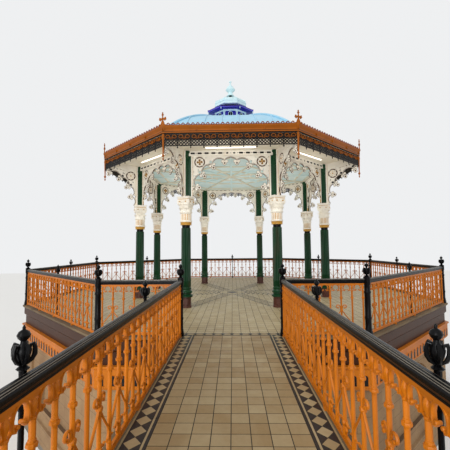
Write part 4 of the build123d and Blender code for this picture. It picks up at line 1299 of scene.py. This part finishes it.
def corner_drops():
    """Tapered rods under the corners, ending in a collar, a knob and a spear tip."""
    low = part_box("corner_drops")[0].z - GUTTER_BOTTOM
    tip = [(0.002, 0), (0.011, 0.02), (0.022, 0.052), (0.017, 0.072), (0.008, 0.084), (0.008, 0.096)]
    tip += [(0.02, 0.108), (0.034, 0.13), (0.036, 0.148), (0.028, 0.17), (0.014, 0.186), (0.02, 0.194)]
    tip += [(0.017, 0.206), (0.022, 0.34)]
    head = [(0.028, -0.2), (0.032, -0.11), (0.04, -0.104), (0.04, -0.088), (0.032, -0.08), (0.034, -0.026)]
    rods = at_corners(lathe(moved(tip, 0, low) + head), VALANCE_APOTHEM, GUTTER_BOTTOM)
    piece("drop_rods", rods, ["eaves_orange"], ["corner_drops"])


def gutter_dressing():
    """Joint collars and a rolled lip on the gutter, and a bead over a dark groove on the soffit's edge; the
    groove and a dark band over the soffit's cream edge are painted shade.
    """
    half, height = HALF_SIDE * EAVES_APOTHEM, GUTTER_TOP - GUTTER_BOTTOM
    edge = EAVES_APOTHEM - 0.045
    collars = []
    spots = [(-half / 2, 0.008), (0, 0.008), (half / 2, 0.008), (-half + 0.03, 0.01), (half - 0.03, 0.01)]
    for x, width in spots:
        collars.append(block(x - width, x + width, 0.06, height - 0.02, -0.05, -0.013))
    bead = [(-0.004, 0.004), (0.014, 0.002), (0.024, 0.01), (0.024, 0.022), (0.014, 0.03), (-0.004, 0.03)]
    lip = [(-0.012, -0.03), (-0.002, -0.028), (0, -0.016), (-0.002, -0.004), (-0.012, 0)]
    orange = [
        on_sides(join(*collars), EAVES_APOTHEM, GUTTER_BOTTOM),
        mitred(moved(bead, edge, GUTTER_BOTTOM)),
        mitred(moved(lip, EAVES_APOTHEM, GUTTER_TOP)),
    ]
    # Painted shade: a dark groove line, and a dark band that hides the soffit's cream edge.
    groove, shield = rectangle(0, 0.022, 0.03, 0.044), rectangle(-0.006, 0.006, -0.03, 0.006)
    dark = [mitred(moved(profile, edge, GUTTER_BOTTOM)) for profile in (groove, shield)]
    piece("gutter_mouldings", painted(orange, dark), ["eaves_orange", "valance_dark"])


def ceiling():
    """Ribs to the corners and the sides, four octagonal rings and a moulded rose with eight petals."""
    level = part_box("ceiling_panel")[0].z
    rib = symmetric([(-0.035, 0.0), (-0.035, -0.03), (-0.02, -0.05)])
    long_rib = bar(rib, 0.2, COLUMN_APOTHEM * TO_CORNER - 0.12, level + 0.002)
    cream = [(long_rib, corner_turn(k)) for k in range(SIDES)]
    blue = around(bar(rib, 0.2, COLUMN_APOTHEM - 0.08, level + 0.002), SIDES, Matrix(), -pi / 2)
    for apothem, wide in ((0.75, 0.04), (1.5, 0.05), (2.6, 0.04), (COLUMN_APOTHEM - 0.12, 0.07)):
        ring = [(-wide, 0), (-wide, -0.02), (0, -0.04), (wide, -0.02), (wide, 0)]
        cream.append(mitred(moved(ring, apothem, level)))
    rose = [(0.21, 0), (0.21, -0.02), (0.2, -0.04), (0.15, -0.045), (0.12, -0.065), (0.1, -0.055)]
    rose += [(0.06, -0.06), (0.05, -0.08), (0.02, -0.085)]
    cream.append(lathe(moved(rose, 0, level), 32))
    petal = stroke([(0.05, 0), (0.11, 0), (0.17, 0), (0.19, 0)], [0.01, 0.05, 0.06, 0.01], 0.03)
    cream += around(petal, 8, shift(0, 0, level - 0.05))
    paints = ["tracery_cream", "ceiling_blue"]
    piece("ceiling_tracery", painted(cream, blue), paints, ["ceiling_ribs"])


def soffit_lamps():
    """A long cream batten with a thin frosted tube and end caps under each side."""
    half, inset, end, out = 0.73, 0.02, 0.022, 0.21
    run = SOFFIT_END - COLUMN_APOTHEM - BEAM_HALF
    slope = atan2(GUTTER_BOTTOM - SOFFIT_DEPTH - BEAM_TOP, run)
    batten = symmetric([(-0.042, 0.0), (-0.04, -0.012), (-0.02, -0.02)])
    cap = symmetric([(-0.044, 0.0), (-0.042, -0.03), (-0.02, -0.046)])
    tube = moved(scaled(circle(0, 0, 1, 10), 0.015, 0.013), 0, -0.031)
    cream = [bar(batten, -half + inset, half - inset)]
    cream += [bar(cap, -half, -half + end), bar(cap, half - end, half)]
    lamp = painted([bar(tube, -half + inset, half - inset)], cream)
    spot = shift(0, -COLUMN_APOTHEM - BEAM_HALF - out, BEAM_TOP + tan(slope) * out)
    lamps = join(*around(lamp, SIDES, spot @ Matrix.Rotation(-slope, 4, "X")))
    piece("soffit_lamps", lamps, ["light_white", "soffit_cream"], ["light_fittings"])


valance()
cresting()
corner_finials()
corner_drops()
gutter_dressing()
ceiling()
soffit_lamps()


# Roof

CROWN_APOTHEM = 0.6
DOME_BASE = 4.08
DOME_BULGE = 0.25
dome_chord = hypot(DOME_BASE - CROWN_APOTHEM, DOME_CROWN - GUTTER_TOP)
DOME_RADIUS = (dome_chord ** 2 / 4 + DOME_BULGE ** 2) / (2 * DOME_BULGE)
dome_sink = (DOME_BULGE - DOME_RADIUS) / dome_chord
DOME_CENTRE = (
    (DOME_BASE + CROWN_APOTHEM) / 2 + (DOME_CROWN - GUTTER_TOP) * dome_sink,
    (GUTTER_TOP + DOME_CROWN) / 2 + (DOME_BASE - CROWN_APOTHEM) * dome_sink,
)
SEAM_PITCH = 0.48
HIP_RADIUS = 0.036
HIP_LIFT = 0.014
DRUM_WALL = 0.57
LANTERN_TOP_APOTHEM = 0.52


def dome_spots(first, last, count):
    """Spots on the dome's curve: apothem, height, and the outward and upward shares of the normal."""
    spots = []
    for k in range(count + 1):
        a = first + (last - first) * k / count
        lean = (a - DOME_CENTRE[0]) / DOME_RADIUS
        height = DOME_CENTRE[1] + sqrt(DOME_RADIUS ** 2 - (a - DOME_CENTRE[0]) ** 2)
        spots.append((a, height, lean, sqrt(1 - lean * lean)))
    return spots


def dome_seams():
    """Rolls between the sheets of each side, up to the hips."""
    section = [(-0.022, -0.01), (-0.019, 0.014), (-0.008, 0.028), (0.008, 0.028), (0.019, 0.014)]
    section += [(0.022, -0.01)]
    parts = []
    for j in range(-4, 4):
        u = SEAM_PITCH * (j + 0.5)
        last = max(CROWN_APOTHEM + 0.03, abs(u) / HALF_SIDE + 0.05)
        if last < DOME_BASE - 0.1:
            rings = []
            for a, z, out, up in dome_spots(DOME_BASE - 0.02, last, 14):
                rings.append([(u + across, -(a + out * off), z + up * off) for across, off in section])
            parts.append(prism(rings))
    piece("dome_seams", join(*around(join(*parts), SIDES, Matrix())), ["dome_blue"])


def dome_hips():
    """Rolls over the corners of the dome, tapered at both ends."""
    spots = dome_spots(DOME_BASE - 0.01, CROWN_APOTHEM + 0.06, 28)
    rings = []
    for k, (a, z, out, up) in enumerate(spots):
        radius = HIP_RADIUS * (1 if 0 < k < len(spots) - 1 else 0.6)
        x = a * TO_CORNER
        rings.append([(x + out * n, y, z + up * n) for y, n in circle(0, HIP_LIFT, radius, 10)])
    roll = prism(rings, True)
    piece("hip_rolls", join(*[(roll, corner_turn(k)) for k in range(SIDES)]), ["dome_blue"], ["dome_hips"])


def drum_face():
    """One face of the drum, a round-headed light between corner shafts: pale, blue and dark parts."""
    half, rise = HALF_SIDE * DRUM_WALL, LANTERN_EAVES - DOME_CROWN
    light_half, spring = 0.075, rise - 0.15
    outline = [(-light_half, 0.06)] + arc(0, spring, light_half, 180, 0, 14) + [(light_half, 0.06)]
    pale = [stroke(outline, 0.02, 0.03), stroke([(0, 0.06), (0, spring + light_half)], 0.01, 0.016)]
    pale.append(block(-light_half - 0.02, light_half + 0.02, 0.04, 0.062, 0, 0.028))
    blue = []
    panel = rectangle(light_half + 0.03, half - 0.04, 0.08, rise - 0.12)
    for side in (-1, 1):
        x = side * (half - 0.012)
        pale.append(block(x - 0.016, x + 0.016, 0.05, rise - 0.06, -0.01, 0.022))
        curl = spiral(x - side * 0.03, rise - 0.075, 0.03, 0.009, 90 - side * 100, 90 + side * 190, 9)
        pale.append(stroke(curl, 0.011, 0.02))
        blue.append(stroke(handed(panel, side), 0.012, 0.016, closed=True))
    return join(*pale), join(*blue), plate([outline], 0.006)


def corner_ribs(levels, foot, crown):
    """Ribs up the corners of an octagonal roof; foot and crown give a half width and a height."""
    rings = []
    for apothem, z in levels:
        low, high = apothem * TO_CORNER - 0.012, apothem * TO_CORNER + 0.006
        ring = [(low, -foot[0], z + foot[1]), (low, foot[0], z + foot[1])]
        rings.append(ring + [(high, crown[0], z + crown[1]), (high, -crown[0], z + crown[1])])
    rib = prism(rings)
    return [(rib, corner_turn(k)) for k in range(SIDES)]


def lantern():
    """The drum under a wide eight-sided eave, with a pendant at each of its corners."""
    low, eaves, top = DOME_CROWN, LANTERN_EAVES, CAP_BOTTOM
    wall, edge, rim = DRUM_WALL, LANTERN_APOTHEM, 0.05
    steps = [(wall + 0.022, low), (wall + 0.022, low + 0.04), (wall, low + 0.05), (wall, eaves - 0.001)]
    pale, blue, dark = [on_sides(part, wall, low) for part in drum_face()]
    moulding = [(-0.01, -0.001), (-0.01, -0.05), (0.012, -0.05), (0.018, -0.036), (0.034, -0.022)]
    moulding += [(0.034, -0.001)]
    whole = painted([octagonal(steps), blue], [mitred(moved(moulding, wall, eaves)), pale], [dark])
    piece("lantern_drum", whole, ["lantern_blue", "finial_pale", "rail_black"], ["lantern_base"])

    levels = []
    for k in range(9):
        t = k / 8
        apothem = edge + (LANTERN_TOP_APOTHEM - edge) * t ** 0.85
        levels.append((apothem, eaves + rim + (top - eaves - rim) * t ** 1.2))
    roof = [octagonal([(edge - 0.02, eaves), (edge, eaves + 0.008), (edge, eaves + rim)] + levels[1:])]
    roof += corner_ribs(levels, (0.016, -0.01), (0.01, 0.016))
    for apothem in (edge - 0.09, edge - 0.18):
        roof.append(mitred(rectangle(apothem, apothem + 0.014, eaves - 0.012, eaves + 0.004)))
    fascia = [(-0.022, 0.004), (-0.02, -0.006), (-0.002, -0.006), (0, 0.006), (0, rim - 0.004)]
    fascia += [(-0.012, rim)]
    drop = [(0.004, -0.075), (0.013, -0.06), (0.018, -0.042), (0.01, -0.026), (0.016, -0.012)]
    drop += [(0.016, 0.004)]
    pendants = at_corners(lathe(drop, 10), edge - 0.03, eaves)
    whole = painted(roof, [mitred(moved(fascia, edge, eaves))], [pendants])
    piece("lantern_eave", whole, ["lantern_blue", "lantern_violet", "finial_pale"], ["lantern_roof"])


def cap_and_finial():
    """A black throat as painted shadow under the cap, a pale eight-sided cap with a deep rim, a dark neck,
    and the turned finial.
    """
    low, top = CAP_BOTTOM, CAP_TOP
    rim = [(0.585, 0.034), (0.6, 0.04), (0.604, 0.06), (0.59, 0.068), (0.588, 0.145), (0.6, 0.152)]
    rim += [(0.6, 0.168)]
    crown = [(0.575, 0.19)]
    for share in (0.25, 0.45, 0.62, 0.76, 0.88, 0.97):
        crown.append((0.575 * sqrt(1 - share ** 2) + 0.02, 0.19 + 0.215 * share))
    crown.append((0.075, 0.407))
    shell = [octagonal(moved(rim + crown, 0, low))]
    shell += corner_ribs(moved(crown, 0, low), (0.013, -0.012), (0.008, 0.009))
    # A black band under the cap's rim: painted shadow.
    throat = octagonal([(0.49, low), (0.49, low + 0.05)])
    neck = lathe([(0.068, low + 0.4), (0.06, low + 0.44), (0.06, top)], 20)
    piece("cap_shell", painted(shell, [throat, neck]), ["finial_pale", "rail_black"], ["lantern_cap"])
    profile = [(0.06, 0.0), (0.145, -0.03), (0.158, -0.028), (0.152, -0.008), (0.118, 0.016)]
    profile += [(0.108, 0.036), (0.11, 0.06), (0.1, 0.075), (0.082, 0.09), (0.078, 0.12), (0.1, 0.15)]
    profile += [(0.15, 0.19), (0.178, 0.22), (0.184, 0.245), (0.172, 0.27), (0.136, 0.31), (0.118, 0.335)]
    profile += [(0.122, 0.348), (0.09, 0.362), (0.05, 0.372), (0.056, 0.385), (0.044, 0.42), (0.03, 0.47)]
    profile += [(0.025, 0.51), (0.028, 0.525), (0.047, 0.545), (0.05, 0.562), (0.044, 0.578), (0.02, 0.588)]
    profile += [(0.004, 0.59)]
    piece("finial_turned", lathe(moved(profile, 0, top), 28), ["finial_pale"], ["top_finial"])


dome_seams()
dome_hips()
lantern()
cap_and_finial()


# Paving

TILE = 0.179
TILE_LONG = 0.1875
JOINT = 0.008
PROUD = 0.0008
BRIDGE_START = -RAIL_APOTHEM + 0.03


def clipped(polygon, normal, limit):
    """The part of a polygon on the near side of a line."""
    kept = []
    for k, (x, y) in enumerate(polygon):
        ahead = polygon[(k + 1) % len(polygon)]
        here = x * normal[0] + y * normal[1] - limit
        there = ahead[0] * normal[0] + ahead[1] * normal[1] - limit
        if here <= 0:
            kept.append((x, y))
        if (here < 0) != (there < 0) and here != there:
            share = here / (here - there)
            kept.append((x + (ahead[0] - x) * share, y + (ahead[1] - y) * share))
    return kept


def tiles_of(outlines, level, lightest=0.0, darkest=1.0):
    """Flat tiles with eased edges, each outline one tile; gives the part and a tone for each face."""
    parts, tones = [], []
    random = np.random.default_rng(7)
    for outline in outlines:
        count = len(outline)
        cx = sum(x for x, y in outline) / count
        cy = sum(y for x, y in outline) / count
        ease = 1 - 0.002 / max(hypot(x - cx, y - cy) for x, y in outline)
        low = [(x, y, level) for x, y in outline]
        high = [(cx + (x - cx) * ease, cy + (y - cy) * ease, level + PROUD) for x, y in outline]
        faces = [(k, (k + 1) % count, count + (k + 1) % count, count + k) for k in range(count)]
        faces.append(tuple(range(count, 2 * count)))
        parts.append(part_of(low + high, faces))
        tones += [lightest + (darkest - lightest) * random.random()] * len(faces)
    return join(*parts), np.array(tones)


def tile_outline(x, y, length=TILE):
    gap = JOINT / 2
    return rectangle(x + gap, x + TILE - gap, y + gap, y + length - gap)


def deck_outlines():
    """Square tiles over the deck, cut off along its eight sides."""
    inner = RAIL_APOTHEM - 0.16
    count = ceil(inner / TILE) + 1
    ways = [polar(0, 0, 1, -pi / 2 + TURN * k) for k in range(SIDES)]
    outlines = []
    for i in range(-count, count):
        for j in range(-count, count):
            outline = tile_outline(i * TILE, j * TILE)
            for way in ways:
                outline = clipped(outline, way, inner) if len(outline) >= 3 else []
            if len(outline) >= 3:
                outlines.append(outline)
    return outlines


def bridge_borders():
    """Along both edges of the bridge: dark strips, and buff lines and lozenges on them."""
    start, end = -BRIDGE_END + 0.005, BRIDGE_START
    strips, lozenges = int((end - start) / 0.5), int((end - start) / 0.189)
    step, pitch = (end - start) / strips, (end - start) / lozenges
    dark, buff = [], []
    for side in (-1, 1):
        for k in range(strips):
            y0, y1 = start + k * step + 0.001, start + (k + 1) * step - 0.001
            for inner, outer, outlines in ((0.7195, 0.957, dark), (0.744, 0.764, buff), (0.938, 0.956, buff)):
                x0, x1 = sorted((side * inner, side * outer))
                outlines.append(rectangle(x0, x1, y0, y1))
        lozenge = [(-0.076, 0), (0, -pitch * 0.48), (0.076, 0), (0, pitch * 0.48)]
        buff += [moved(lozenge, side * 0.851, start + (k + 0.5) * pitch) for k in range(lozenges)]
    return dark, buff


def stage_star():
    """Dark tiles on the stage: a ladder between two lines to each corner, and a round one in the middle."""
    steps, first, last = 16, 0.42, COLUMN_APOTHEM * TO_CORNER - 0.2
    outlines = []
    for k in range(SIDES):
        ca, sa = polar(0, 0, 1, -pi / 2 + TURN / 2 + TURN * k)
        for j in range(steps):
            r = first + (last - first) * (j + 0.5) / steps
            for t, along, across in ((0, 0.022, 0.12), (-0.165, 0.06, 0.026), (0.165, 0.06, 0.026)):
                straight = rectangle(r - along, r + along, t - across, t + across)
                outlines.append([(ca * x - sa * y, sa * x + ca * y) for x, y in straight])
    return outlines + [circle(0, 0, 0.19, 24)]


def paving():
    # The stage's tiles take the lighter tones and the bridge's the darker: painted light, as of the lamps
    # over the stage.
    part, tones = tiles_of(deck_outlines(), DECK, 0.0, 0.4)
    piece("deck_tiles", part, ["tile_paving"], tone=tones)
    rows = int((BRIDGE_END - RAIL_APOTHEM) / TILE_LONG)
    outlines = []
    for i in range(-4, 4):
        for j in range(1, rows + 1):
            outlines.append(tile_outline(i * TILE, BRIDGE_START - j * TILE_LONG, TILE_LONG))
    part, tones = tiles_of(outlines, DECK, 0.5, 1.0)
    piece("bridge_tiles", part, ["tile_paving"], tone=tones)

    dark, buff = bridge_borders()
    y0, y1 = -RAIL_APOTHEM + 0.035, -RAIL_APOTHEM + 0.2
    dark.append(rectangle(-1.07, 1.07, y0, y1))
    hexagon = [(-0.082, 0), (-0.045, -0.048), (0.045, -0.048), (0.082, 0), (0.045, 0.048), (-0.045, 0.048)]
    buff += [moved(hexagon, (k - 5.5) * 0.178, (y0 + y1) / 2) for k in range(12)]
    part, tones = tiles_of(dark + stage_star(), DECK + 0.0015)
    piece("border_dark_tiles", part, ["tile_dark"], tone=tones)
    part, tones = tiles_of(buff, DECK + 0.0035, 0.4, 0.7)
    piece("border_buff_tiles", part, ["tile_paving"], tone=tones)


paving()


# Lower storey

def slotted_band():
    """A row of small round-headed slots under raised heads along the frieze of the cornice; each slot is a
    dark plate, painted shade for its hollow.
    """
    low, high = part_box("base_cornice")
    frieze = high.x - 0.035
    count, wide, tall = 24, 0.042, 0.095
    half = HALF_SIDE * frieze - 0.03
    pitch = 2 * half / count
    # Each slot is a flat dark plate: painted shade where the slot's hollow would be.
    dark = plate([[(-wide, -tall), (wide, -tall)] + arc(0, tall - wide, wide, 0, 180, 7)], 0.008)
    head = stroke(arc(0, tall - wide, wide + 0.008, -10, 190, 9), 0.011, 0.018)
    sill = block(-0.054, 0.054, -tall - 0.016, -tall, 0.0, 0.014)
    one = painted([head, sill], [dark])
    row = join(*[(one, shift(-half + (k + 0.5) * pitch, 0, 0)) for k in range(count)])
    whole = on_sides(row, frieze, (low.z + high.z) / 2 - 0.045)
    piece("cornice_slots", whole, ["band_orange", "valance_dark"])


slotted_band()


# Materials on the solids that stay as they are

for name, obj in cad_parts.items():
    for index, old in enumerate(obj.data.materials):
        key = old.name.split(".")[0] if old else ""
        if name in ("deck_paving", "bridge_paving"):
            key = "tile_joint"
        if key in MATERIALS:
            obj.data.materials[index] = MATERIALS[key]


# Floor, light and camera

def floor():
    mesh = bpy.data.meshes.new("floor")
    mesh.from_pydata([(x, y, 0) for x, y in rectangle(-60, 60, -60, 60)], [], [(0, 1, 2, 3)])
    obj = bpy.data.objects.new("floor", mesh)
    bpy.context.scene.collection.objects.link(obj)
    n = Nodes("floor_pale")
    n.finish(n.mix(n.noise(0.4, 2), (0.80, 0.80, 0.79, 1), (0.83, 0.83, 0.82, 1)), 0.9)
    mesh.materials.append(MATERIALS["floor_pale"])


def sky():
    """Soft white light from all round, seen and mirrored as a pale grey."""
    world = bpy.data.worlds.new("studio")
    bpy.context.scene.world = world
    world.use_nodes = True
    tree = world.node_tree
    tree.nodes.clear()

    def background(colour, strength):
        node = tree.nodes.new("ShaderNodeBackground")
        node.inputs[0].default_value = colour
        node.inputs[1].default_value = strength
        return node.outputs[0]

    def larger(a, b):
        node = tree.nodes.new("ShaderNodeMath")
        node.operation = "MAXIMUM"
        tree.links.new(a, node.inputs[0])
        tree.links.new(b, node.inputs[1])
        return node.outputs[0]

    rays = tree.nodes.new("ShaderNodeLightPath").outputs
    seen = larger(larger(rays["Is Camera Ray"], rays["Is Glossy Ray"]), rays["Is Transmission Ray"])
    mix = tree.nodes.new("ShaderNodeMixShader")
    tree.links.new(seen, mix.inputs[0])
    tree.links.new(background((1.0, 0.99, 0.97, 1), 0.72), mix.inputs[1])
    tree.links.new(background((0.86, 0.87, 0.88, 1), 1.0), mix.inputs[2])
    tree.links.new(mix.outputs[0], tree.nodes.new("ShaderNodeOutputWorld").inputs[0])


def light(name, kind, place, **values):
    data = bpy.data.lights.new(name, kind)
    for key, value in values.items():
        setattr(data, key, value)
    obj = bpy.data.objects.new(name, data)
    obj.matrix_world = place
    bpy.context.scene.collection.objects.link(obj)
    return obj


def lights():
    """A hazy sun, a broad light from low in front that reaches in under the roof, and one on the stage."""
    slant = Euler((radians(48), radians(-8), radians(-28))).to_matrix().to_4x4()
    light("key", "SUN", slant, energy=1.05, angle=radians(25))
    ahead = shift(-3.5, -22, 5.5) @ Matrix.Rotation(radians(94), 4, "X")
    light("fill", "AREA", ahead, shape="SQUARE", size=8, energy=1250)
    upward = shift(0, 0, DECK + 0.25) @ Matrix.Rotation(pi, 4, "X")
    stage = light("stage_light", "AREA", upward, shape="DISK", size=6.5, energy=110)
    stage.visible_camera = False
    stage.visible_glossy = False


def camera():
    """Eye level on the bridge, a little right of its middle line, looking at the stage."""
    yaw, pitch, roll = -0.0227, 0.06745, -0.0086
    eye = Vector((0.0331, -12.7, DECK + 1.678))
    level_right = Vector((cos(yaw), -sin(yaw), 0))
    level_up = Vector((-sin(pitch) * sin(yaw), -sin(pitch) * cos(yaw), cos(pitch)))
    ahead = Vector((cos(pitch) * sin(yaw), cos(pitch) * cos(yaw), sin(pitch)))
    right = cos(roll) * level_right + sin(roll) * level_up
    up = cos(roll) * level_up - sin(roll) * level_right
    data = bpy.data.cameras.new("camera")
    data.lens = 26.684
    data.sensor_width = 36
    data.clip_end = 200
    obj = bpy.data.objects.new("camera", data)
    obj.matrix_world = Matrix.Translation(eye) @ Matrix((right, up, -ahead)).transposed().to_4x4()
    bpy.context.scene.collection.objects.link(obj)
    bpy.context.scene.camera = obj


floor()
sky()
lights()
camera()
bpy.context.scene.view_settings.view_transform = "Standard"

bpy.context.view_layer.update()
